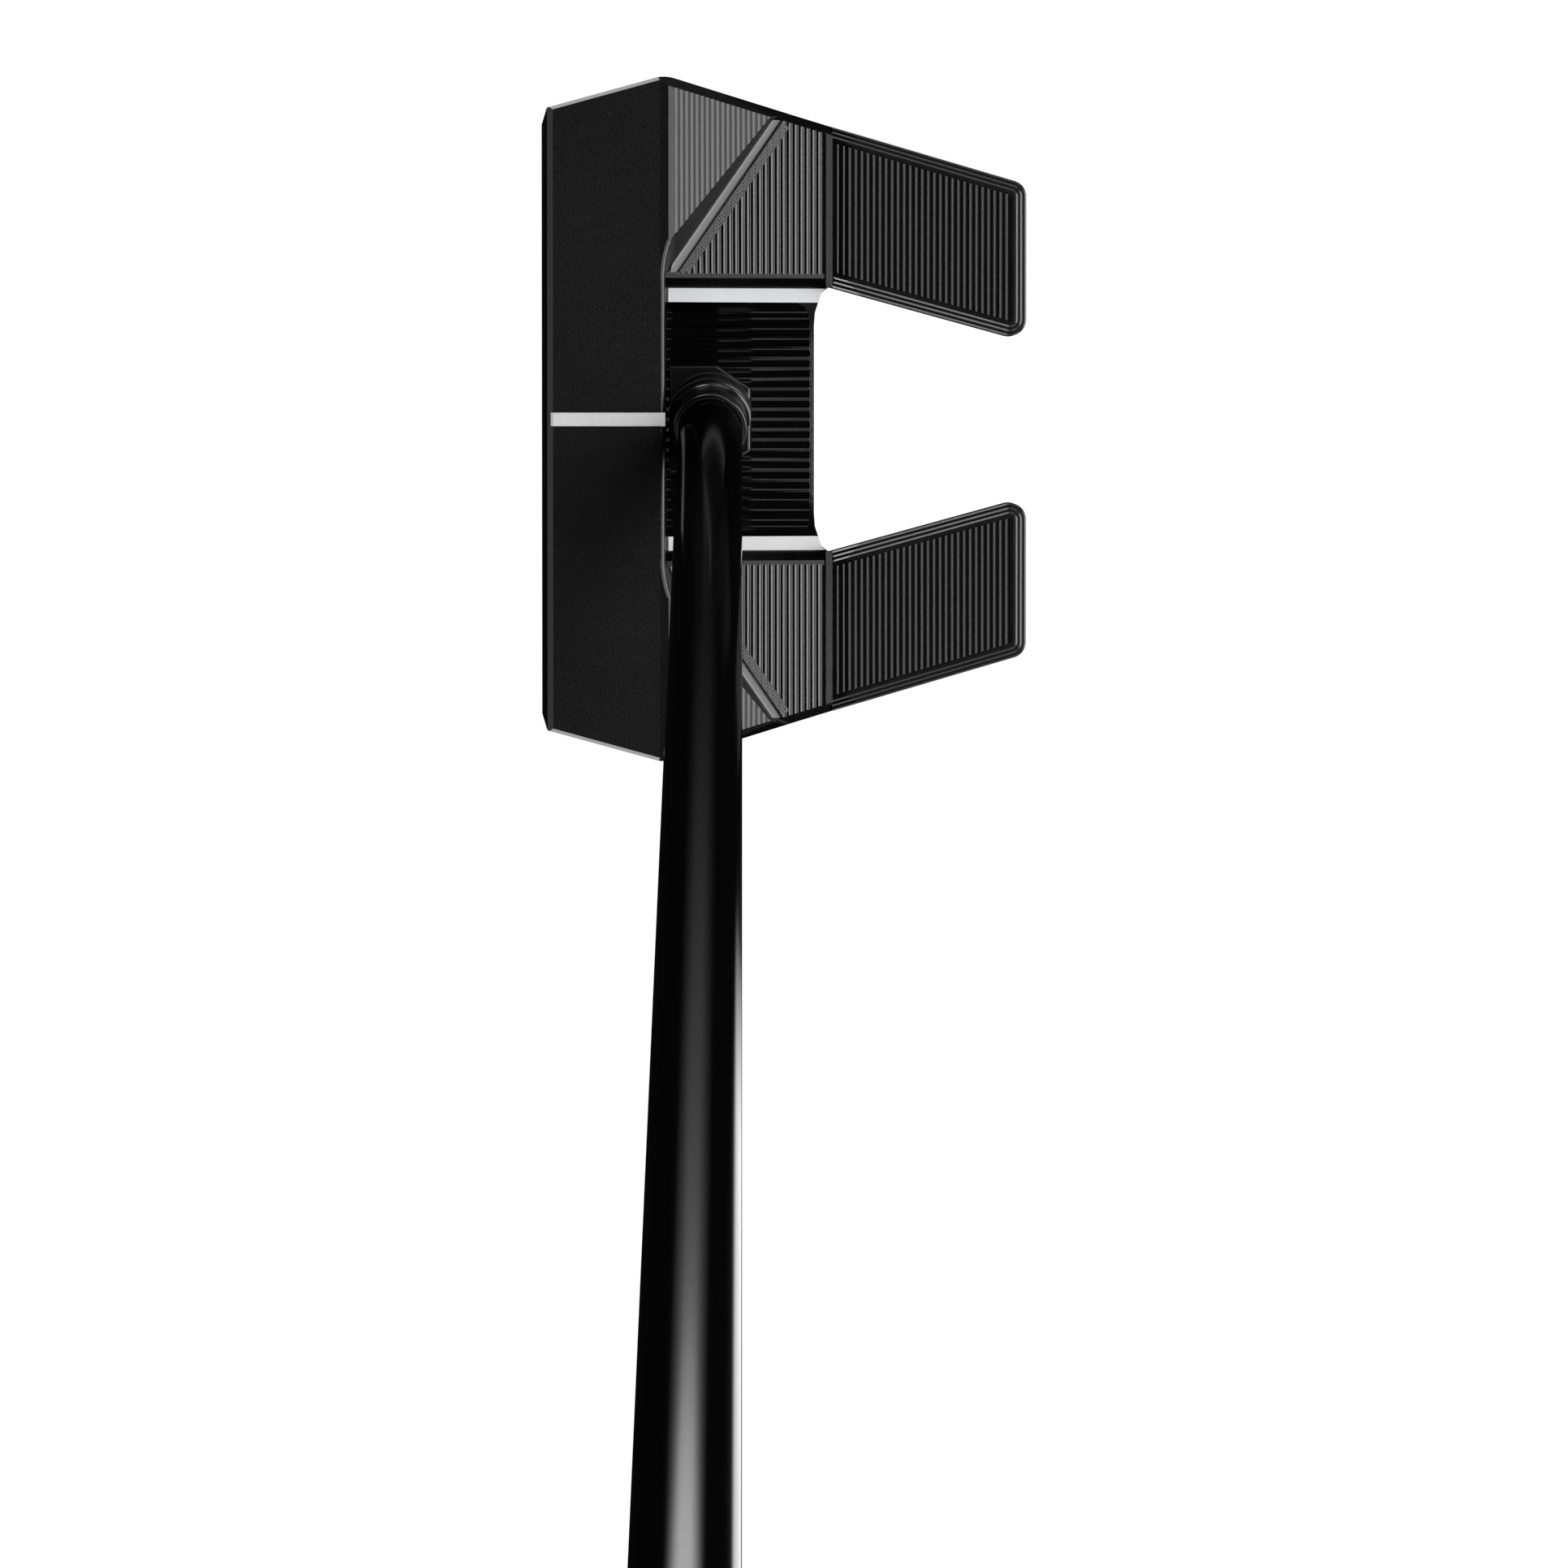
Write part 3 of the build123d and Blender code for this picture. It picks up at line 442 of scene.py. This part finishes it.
def makeScrewSteel():  # black oxide, polished along the edges
    finish = Finish("oxideScrewSteel", Metallic=1.0)
    where = finish.place()
    cloud = finish.noise(where, 900, 4, 0.6)
    grain = finish.noise(where, 9000, 2)
    edge = finish.edges(oxideSteel["wearReach"], oxideSteel["wearFull"], oxideSteel["wearStart"])
    base = finish.blend(cloud, grey(0.035), grey(0.07))
    finish.feed("Base Color", finish.blend(edge * 0.6, base, grey(0.3)))
    finish.feed("Roughness", 0.27 + cloud * 0.14)
    finish.feed("Normal", finish.relief(grain, oxideSteel["grainDepth"]))
    return finish.material


# the ledge lines are the same white paint as the top line, made darker as painted shade for their place
# in the hollow behind the bar
sightPaint = {
    "topLine": 0.95,
    "ledges": 0.66,
    "roughness": 0.42,
    "dimple": 0.3 * mm,
    "dimpleDepth": 0.012 * mm,
}


def makeSightPaint(name, level):  # paint fill: a little uneven, with dust in it
    finish = Finish(name)
    where = finish.place()
    cloud = finish.noise(where, 260, 4, 0.6)
    dimples = finish.noise(where, 1 / sightPaint["dimple"], 3)
    specks = finish.steps(finish.noise(where, 5200, 2), [(0.62, 1.0), (0.74, 0.72)])
    base = finish.blend(cloud, grey(level * 0.86, 0.01), grey(level, 0.015))
    finish.feed("Base Color", finish.blend(specks, grey(0.12), base))
    finish.feed("Roughness", sightPaint["roughness"] + dimples * 0.12)
    finish.feed("Normal", finish.relief(dimples, sightPaint["dimpleDepth"]))
    return finish.material


shaftGloss = {
    "level": 0.0006,
    "dull": 0.72,  # of the gloss is lost just above the neck, where the glue was wiped away
    "dullEnd": 28 * mm,
    "dullFade": 35 * mm,
    "peel": 0.9 * mm,
    "peelDepth": 0.0003 * mm,
}


def makeShaftGloss():  # gloss black over polished steel: faint peel, hairlines along and round it
    finish = Finish("glossBlackShaft", Specular_IOR_Level=0.0, Coat_Roughness=0.12, Coat_IOR=1.5)
    where = finish.alongShaft()
    along = finish.parts(where)[2]
    peel = finish.noise(where, 1 / shaftGloss["peel"], 2)
    hairs = finish.noise(finish.stretched(where, (1, 1, 0.02)), 5000, 2, 0.6)
    rub = finish.noise(finish.stretched(where, (0.3, 0.3, 1)), 900, 3, 0.6)
    hairline = finish.steps(hairs, [(0.66, 0.0), (0.74, 1.0)])
    rubbed = finish.steps(rub, [(0.6, 0.0), (0.8, 1.0)])
    level = shaftGloss["level"]
    finish.feed("Base Color", finish.blend(hairline * 0.3, grey(level), grey(level * 6)))
    dull = 1 - ((along - shaftGloss["dullEnd"]) / shaftGloss["dullFade"]).clipped()
    finish.feed("Coat Weight", 1 - dull * shaftGloss["dull"] - hairline * 0.15 - rubbed * 0.1)
    finish.feed("Roughness", 0.3 + rubbed * 0.1)
    finish.feed("Normal", finish.relief(peel, shaftGloss["peelDepth"]))
    return finish.material


gripRubber = {
    "level": 0.014,
    "rows": 1.9 * mm,  # spacing of the raised dots along the grip
    "columns": 36,  # round the grip
    "dotDepth": 0.22 * mm,
    "plainEnd": 14 * mm,  # no dots this near the mouth and the cap
    "patternFade": 1.5 * mm,
    "frontHalf": 7.2 * mm,  # the ribbed strip down the flat front, from its middle to its edge
    "frontStart": 6.5 * mm,  # the strip is on what lies this far in front of the axis
    "skinDepth": 0.03 * mm,
}


def makeGripRubber(patterned):
    finish = Finish("gripPolyurethane" if patterned else "capRubber", Specular_IOR_Level=0.4)
    where = finish.alongShaft()
    x, y, z = finish.parts(where)
    cloud = finish.noise(where, 55, 4, 0.6)
    skin = finish.noise(where, 2600, 3, 0.6)
    level = gripRubber["level"]
    relief = finish.relief(skin, gripRubber["skinDepth"])
    worn = finish.steps(cloud, [(0.4, 0.0), (0.7, 1.0)])
    finish.feed("Base Color", finish.blend(worn, grey(level, 0.02), grey(level * 1.5, 0.02)))
    roughness = 0.62 - worn * 0.12 + skin * 0.08
    if patterned:
        around = y.angle(x) * (gripRubber["columns"] / 2)
        dots = (z * (pi / gripRubber["rows"])).sine() * around.sine()
        dots = finish.steps(dots.size(), [(0.25, 0.0), (0.55, 1.0)])
        low = butt - club["gripLength"] + gripRubber["plainEnd"]
        high = butt - gripRubber["plainEnd"]
        inStrip = 1 - y.size().above(gripRubber["frontHalf"])
        front = (0 - x).above(gripRubber["frontStart"]) * inStrip
        rib = (z * (pi / (gripRubber["rows"] * 1.5))).sine().size()
        ribs = finish.steps(rib, [(0.2, 0.0), (0.5, 1.0)])
        middle = z.between(low, high, gripRubber["patternFade"])
        pattern = (dots * (1 - front) + ribs * front) * middle
        relief = finish.relief(pattern, gripRubber["dotDepth"], relief)
        roughness = roughness - pattern * 0.08
    finish.feed("Roughness", roughness)
    finish.feed("Normal", relief)
    return finish.material


tape = {"turn": 24 * mm, "fibreDepth": 0.03 * mm}  # the turn is measured along the shaft


def makeTape():  # paper tape wound round the butt
    finish = Finish("windingTape")
    where = finish.alongShaft()
    x, y, z = finish.parts(where)
    turns = ((z / tape["turn"]) * (2 * pi) + y.angle(x)).sine()
    seam = finish.steps(turns, [(0.96, 0.0), (0.995, 1.0)])
    fibre = finish.noise(where, 2400, 4, 0.7)
    base = finish.blend(fibre, (0.5, 0.46, 0.36, 1), (0.68, 0.64, 0.53, 1))
    finish.feed("Base Color", finish.blend(seam * 0.7, base, (0.25, 0.22, 0.17, 1)))
    finish.feed("Roughness", 0.7 + fibre * 0.15)
    finish.feed("Normal", finish.relief(fibre - seam, tape["fibreDepth"]))
    return finish.material


hiddenRelief = {  # how deep the texture of each piece inside the club is
    "foam": 0.12 * mm,
    "epoxy": 0.02 * mm,
    "elastomer": 0.02 * mm,
    "nylon": 0.01 * mm,
}


def makeFoam():
    finish = Finish("gripFoam")
    where = finish.place()
    cells = finish.cells(where, 2600)
    cloud = finish.noise(where, 140, 3)
    finish.feed("Base Color", finish.blend(cells * 1.2, grey(0.09), grey(0.24)))
    finish.feed("Roughness", 0.78 + cloud * 0.12)
    finish.feed("Normal", finish.relief(cells, hiddenRelief["foam"]))
    return finish.material


def makeEpoxy():  # black two-part glue
    finish = Finish("bondEpoxy", IOR=1.55)
    where = finish.place()
    cloud = finish.noise(where, 700, 4, 0.6)
    bubbles = finish.steps(finish.cells(where, 3200), [(0.08, 1.0), (0.2, 0.0)])
    finish.feed("Base Color", finish.blend(cloud, grey(0.008, -0.1), grey(0.02, -0.1)))
    finish.feed("Roughness", 0.2 + cloud * 0.15 + bubbles * 0.1)
    finish.feed("Normal", finish.relief(1 - bubbles, hiddenRelief["epoxy"]))
    return finish.material


def makeElastomer():
    finish = Finish("dampingElastomer", Specular_IOR_Level=0.35)
    where = finish.place()
    cloud = finish.noise(where, 240, 3)
    skin = finish.noise(where, 4200, 3, 0.65)
    finish.feed("Base Color", finish.blend(cloud, grey(0.016), grey(0.03)))
    finish.feed("Roughness", 0.55 + skin * 0.15)
    finish.feed("Normal", finish.relief(skin, hiddenRelief["elastomer"]))
    return finish.material


def makeNylon():
    finish = Finish("washerNylon", Subsurface_Weight=0.05)
    where = finish.place()
    cloud = finish.noise(where, 420, 3)
    skin = finish.noise(where, 3600, 2)
    finish.feed("Base Color", finish.blend(cloud, (0.5, 0.49, 0.45, 1), (0.62, 0.61, 0.58, 1)))
    finish.feed("Roughness", 0.42 + skin * 0.12)
    finish.feed("Normal", finish.relief(skin, hiddenRelief["nylon"]))
    return finish.material


weightFinish = makeTurnedSteel()
screwFinish = makeScrewSteel()
# the ledge lines' paint is darkened: painted shade
shadedLedgePaint = makeSightPaint("ledgeLinePaintInShade", sightPaint["ledges"])
nylonFinish = makeNylon()
rubberFinish = makeGripRubber(patterned=False)
finishes = {
    "head_body": makeAnodised(),
    "sole_plate": makeSoleSteel(),
    "damping_sheet": makeElastomer(),
    "body_screws": screwFinish,
    "toe_weight": weightFinish,
    "heel_weight": weightFinish,
    "toe_weight_washer": nylonFinish,
    "heel_weight_washer": nylonFinish,
    "neck_block": makeNeckSteel(),
    "neck_screws": screwFinish,
    "topline_sight_line": makeSightPaint("topLinePaint", sightPaint["topLine"]),
    "heel_sight_line": shadedLedgePaint,
    "toe_sight_line": shadedLedgePaint,
    "shaft": makeShaftGloss(),
    "shaft_epoxy": makeEpoxy(),
    "grip_skin": makeGripRubber(patterned=True),
    "grip_core": makeFoam(),
    "grip_tape": makeTape(),
    "grip_end_cap": rubberFinish,
    "grip_cap_plug": rubberFinish,
}
for node, material in finishes.items():
    for slot in nodes[node].material_slots:
        slot.material = material
print("finishes made:", len(finishes))


tube = {
    "start": -7.85 * mm,  # along the axis, from its foot
    "tipParallel": 5.95 * mm,  # the tip is parallel up to here
    "tipRadius": 4.7 * mm,
    "buttRadius": 7.49 * mm,
    "buttParallel": 180 * mm,  # and the last of it is parallel again
    "end": butt - 3 * mm,
    "wall": 0.45 * mm,
    "facets": 160,
}


def makeShaft():  # the end ring is drawn up the axis and let out as it goes
    selectNothing()
    bpy.ops.mesh.primitive_circle_add(
        vertices=tube["facets"], radius=tube["tipRadius"], location=(0, 0, tube["start"]))
    shaft = named("shaftTube")
    bpy.ops.object.transform_apply(location=True, rotation=True, scale=True)
    bpy.ops.object.mode_set(mode="EDIT")
    bpy.ops.mesh.select_all(action="SELECT")
    buttStart = butt - tube["buttParallel"]
    grow = tube["buttRadius"] / tube["tipRadius"]
    runs = [(tube["start"], tube["tipParallel"], 1.0), (tube["tipParallel"], buttStart, grow),
            (buttStart, tube["end"], 1.0)]
    for low, high, size in runs:
        bpy.ops.mesh.extrude_region_move(TRANSFORM_OT_translate={"value": (0, 0, high - low)})
        bpy.ops.transform.resize(value=(size, size, 1), center_override=(0, 0, high))
    normalsOut(shaft)
    applyModifier(shaft, "SOLIDIFY", thickness=tube["wall"], offset=-1)
    smoothByAngle(shaft, 35)
    finishPiece(shaft, "shaft")


makeShaft()
print("shaft made")


grip = {
    "stations": [  # share of the length from the butt, width, front and back of the axis, mm
        (0.10, 26.6, 11.0, 18.2),
        (0.28, 26.0, 10.9, 15.2),
        (0.55, 23.6, 10.6, 13.2),
        (0.80, 21.2, 10.3, 11.8),
        (0.9944, 19.1, 10.0, 10.5),
    ],
    "capStation": (0.0112, 26.4, 10.9, 18.5),
    "frontCorner": 4.2 * mm,
    "backRound": 0.94,  # of half the width
    "cornerSteps": 6,
    "backSteps": 12,
    "betweenStations": 9,
    # steps outwards, mm, and how much of its size each ring keeps; the lip ends inside the mouth
    "lipSteps": [(0.6, 0.985), (0.9, 0.95), (0.35, 0.92), (0.0, 0.80), (-4.0, 1.0)],
    "capSteps": [(2.0, 0.995), (0.55, 0.975), (0.35, 0.955), (0.1, 0.93)],
    "port": 7.0 * mm,  # radius of the cap's hole
    "portDepth": 2.0 * mm,
}


def stationPlace(station):  # how far behind the axis its middle lies, and how far along it
    share, width, front, back = station
    return (back - front) / 2 * mm, butt - share * club["gripLength"]


def addSection(piece, station):  # in edit mode, one flat-fronted ring across the shaft's axis
    share, width, front, back = station
    width, front, back = width * mm, front * mm, back * mm
    behind, along = stationPlace(station)
    middle = Vector((behind, 0, along))
    bpy.ops.mesh.select_all(action="DESELECT")
    bpy.ops.mesh.primitive_plane_add(size=1, location=middle)
    bpy.ops.transform.resize(value=(front + back, width, 1), center_override=middle)

    def onRing(spot):
        return abs(spot.z - along) < near

    selectPoints(piece, lambda spot: onRing(spot) and spot.x < 0)
    bpy.ops.mesh.bevel(offset=grip["frontCorner"], segments=grip["cornerSteps"], affect="VERTICES")
    selectPoints(piece, lambda spot: onRing(spot) and spot.x > back - near)
    backRound = grip["backRound"] * width / 2
    bpy.ops.mesh.bevel(offset=backRound, segments=grip["backSteps"], affect="VERTICES")
    selectPoints(piece, onRing)
    bpy.ops.mesh.delete(type="ONLY_FACE")


def startRings(name):  # an empty mesh to add sections to
    selectNothing()
    bpy.ops.mesh.primitive_plane_add(size=1)
    piece = named(name)
    bpy.ops.object.mode_set(mode="EDIT")
    bpy.ops.mesh.select_all(action="SELECT")
    bpy.ops.mesh.delete(type="VERT")
    return piece


def drawOut(behind, steps, along):  # the selected ring, moved and drawn in step by step
    for rise, size in steps:
        bpy.ops.mesh.extrude_region_move(TRANSFORM_OT_translate={"value": (0, 0, rise * mm)})
        along += rise * mm
        centre = (behind, 0, along)
        bpy.ops.transform.resize(value=(size, size, 1), center_override=centre)
    return along


def makeGripSkin():
    skin = startRings("gripSkin")
    for station in [grip["capStation"], *grip["stations"]]:
        addSection(skin, station)
    bpy.ops.mesh.select_all(action="SELECT")
    bpy.ops.mesh.bridge_edge_loops(
        type="SINGLE", number_cuts=grip["betweenStations"], interpolation="SURFACE", smoothness=1)

    # a rounded lip closes the mouth round the shaft
    mouth = stationPlace(grip["stations"][-1])[1]
    selectPoints(skin, lambda spot: abs(spot.z - mouth) < near)
    drawOut(0, [(-rise, size) for rise, size in grip["lipSteps"]], mouth)
    normalsOut(skin)
    smoothByAngle(skin, 50)
    finishPiece(skin, "grip_skin")


def makeGripCap():
    cap = startRings("gripEndCap")
    addSection(cap, grip["capStation"])
    behind, start = stationPlace(grip["capStation"])
    bpy.ops.mesh.select_all(action="SELECT")
    bpy.ops.mesh.edge_face_add()
    top = drawOut(behind, grip["capSteps"], start)
    normalsOut(cap)
    selectNothing()
    bpy.ops.mesh.primitive_cylinder_add(
        vertices=72, radius=grip["port"], depth=grip["portDepth"] * 2, location=(0, 0, top))
    cutAway(cap, named("portCutter"))
    smoothByAngle(cap, 40)
    finishPiece(cap, "grip_end_cap")


plug = {
    "radius": 6.85 * mm,
    "height": 1.7 * mm,
    "below": 0.3 * mm,  # its top lies this far under the butt
    "edge": 0.3 * mm,
    "slot": (8 * mm, 1.4 * mm, 1.6 * mm),  # length, width and twice the depth
}


def makePlug():
    selectNothing()
    middle = butt - plug["below"] - plug["height"] / 2
    bpy.ops.mesh.primitive_cylinder_add(
        vertices=72, radius=plug["radius"], depth=plug["height"], location=(0, 0, middle))
    piece = named("gripCapPlug")
    bpy.ops.object.transform_apply(location=True, rotation=True, scale=True)
    applyModifier(piece, "BEVEL", width=plug["edge"], segments=3, limit_method="ANGLE")
    selectNothing()
    bpy.ops.mesh.primitive_cube_add(size=1, location=(0, 0, butt - plug["below"]))
    cutter = named("slotCutter")
    bpy.ops.transform.resize(value=plug["slot"], center_override=tuple(cutter.location))
    cutAway(piece, cutter)
    smoothByAngle(piece, 35)
    finishPiece(piece, "grip_cap_plug")


makeGripSkin()
makeGripCap()
makePlug()
print("grip made")


studio = {
    "cameraHeight": 1.325,
    "lens": 203.5,  # with the sensor, in millimetres as a camera maker gives them
    "sensor": 36.0,
    "farthest": 100.0,
    "aimX": 54.5 * mm,  # the camera leans this far towards the heel at the ground
    "floorSize": 60.0,
    "floorGap": 0.05 * mm,  # keeps the sole and the floor from lying in one plane
    "paleLevel": 1.03,  # how white the floor and the sky are to the eye
    "skyInReflections": 0.02,
    "floorInReflections": 0.004,
    "toeGlow": 1.0,  # the floor beyond the toe, seen along the shaft's front
    "toeGlowReach": 260 * mm,  # it is this far before it is fully bright
    "toeGlowCurve": 2.7,
    "toeGlowEdge": (222 * mm, 55 * mm),  # the brightest part starts here and rises over this
    "toeGlowPeak": 3.0,
    "toeGlowHalf": radians(38),
    "toeGlowFade": 0.7,  # of that half
    "heelGlow": 2.0,  # the floor behind the heel, seen along the shaft's rear side
    "heelGlowStart": 84 * mm,
    "heelGlowRise": 30 * mm,
    "heelGlowEnd": 5.0,
    "heelGlowEdges": (radians(19), radians(74)),  # round from the heel towards the rear
    "heelGlowFade": radians(12),
}


def eyeOrRest(tree, seen, unseen):  # one surface for the eye and another for reflections and bounce
    rays = tree.nodes.new("ShaderNodeLightPath")
    choose = tree.nodes.new("ShaderNodeMixShader")
    tree.links.new(rays.outputs["Is Camera Ray"], choose.inputs["Fac"])
    tree.links.new(unseen.outputs[0], choose.inputs[1])
    tree.links.new(seen.outputs[0], choose.inputs[2])
    return choose.outputs["Shader"]


def glow(tree, kind, level):
    node = tree.nodes.new(kind)
    node.inputs["Color"].default_value = grey(1.0)
    if isinstance(level, Value):
        tree.links.new(level.socket, node.inputs["Strength"])
    else:
        node.inputs["Strength"].default_value = level
    return node


def makeFloor():
    selectNothing()
    bpy.ops.mesh.primitive_plane_add(size=studio["floorSize"], location=(0, 0, -studio["floorGap"]))
    floor = named("floor")
    pale = Finish("paleFloor")
    x, y = pale.parts(pale.place())[:2]
    back = y - club["axisY"]

    # beyond the toe
    half = studio["toeGlowHalf"]
    toeSide = back.angle(0 - x).between(-half, half, half * studio["toeGlowFade"])
    farther = ((0 - x) / studio["toeGlowReach"]).clipped() ** studio["toeGlowCurve"]
    edgeStart, edgeRise = studio["toeGlowEdge"]
    edge = ((0 - x - edgeStart) / edgeRise).clipped() * studio["toeGlowPeak"]
    toeLevel = toeSide * (farther * studio["toeGlow"] + edge)

    # behind the heel
    low, high = studio["heelGlowEdges"]
    heelSide = back.angle(x).between(low, high, studio["heelGlowFade"])
    distance = (x * x + back * back).root()
    out = distance.between(studio["heelGlowStart"], studio["heelGlowEnd"], studio["heelGlowRise"])
    level = toeLevel + heelSide * out * studio["heelGlow"]
    level = level + studio["floorInReflections"]
    seen = glow(pale.tree, "ShaderNodeEmission", studio["paleLevel"])
    unseen = glow(pale.tree, "ShaderNodeEmission", level)
    surface = pale.tree.nodes["Material Output"].inputs["Surface"]
    pale.tree.links.new(eyeOrRest(pale.tree, seen, unseen), surface)
    floor.data.materials.append(pale.material)


def makeSky():
    world = bpy.data.worlds.new("studioWorld")
    bpy.context.scene.world = world
    world.use_nodes = True
    seen = glow(world.node_tree, "ShaderNodeBackground", studio["paleLevel"])
    unseen = glow(world.node_tree, "ShaderNodeBackground", studio["skyInReflections"])
    surface = world.node_tree.nodes["World Output"].inputs["Surface"]
    world.node_tree.links.new(eyeOrRest(world.node_tree, seen, unseen), surface)


def softbox(name, place, size, radiance):  # radiance is how bright it looks; power follows its size
    place = Vector(place)
    lamp = bpy.data.lights.new(name, "AREA")
    lamp.shape = "RECTANGLE"
    lamp.size, lamp.size_y = size
    lamp.energy = radiance * pi * size[0] * size[1]
    holder = bpy.data.objects.new(name, lamp)
    bpy.context.scene.collection.objects.link(holder)
    holder.location = place
    headMiddle = Vector((0, 0, 20 * mm))
    holder.rotation_euler = (headMiddle - place).to_track_quat("-Z", "Y").to_euler()
    holder.visible_camera = False
    holder.visible_glossy = not name.endswith("Fill")  # the fills are diffused till they leave no glint


softboxes = {  # place and size in metres, and brightness
    "rearBox": ((0, 2.1, 0.95), (2.2, 1.3), 5.2),
    "lowRearBox": ((0, 2.2, 0.22), (2.2, 0.3), 8),
    "highRearBox": ((0, 1.1, 2.2), (1.6, 0.6), 5.0),
    "toeBox": ((-1.9, -0.6, 0.4), (0.7, 0.6), 8),
    "heelBox": ((1.9, -0.6, 0.4), (0.7, 0.6), 8),
    "toeRearBox": ((-1.8, 0.85, 0.75), (1.1, 1.1), 2.0),
    "heelRearBox": ((1.8, 0.85, 0.75), (1.1, 1.1), 2.0),
    "toeSky": ((-1.6, 0.3, 1.6), (1.0, 0.4), 1.1),
    "heelSky": ((1.6, 0.3, 1.6), (1.0, 0.4), 1.1),
    "toeFill": ((-1.3, -1.3, 1.7), (1.2, 1.2), 0.95),
    "heelFill": ((1.3, -1.3, 1.7), (1.2, 1.2), 0.95),
    "frontBox": ((0, -2.1, 0.6), (2.2, 0.6), 0.75),
}


def makeCamera():
    cameraData = bpy.data.cameras.new("camera")
    cameraData.lens = studio["lens"]
    cameraData.sensor_width = studio["sensor"]
    cameraData.clip_end = studio["farthest"]
    camera = bpy.data.objects.new("camera", cameraData)
    bpy.context.scene.collection.objects.link(camera)
    eye = Vector((0, 0, studio["cameraHeight"]))
    forward = (Vector((studio["aimX"], 0, 0)) - eye).normalized()
    right = Vector((0, 1, 0))  # the rear of the club is to the right of the picture
    turn = Matrix((right, right.cross(forward), -forward)).transposed().to_4x4()
    camera.matrix_world = Matrix.Translation(eye) @ turn
    bpy.context.scene.camera = camera


makeFloor()
makeSky()
for name, (place, size, radiance) in softboxes.items():
    softbox(name, place, size, radiance)
makeCamera()
bpy.context.scene.view_settings.view_transform = "Standard"
print("studio set")
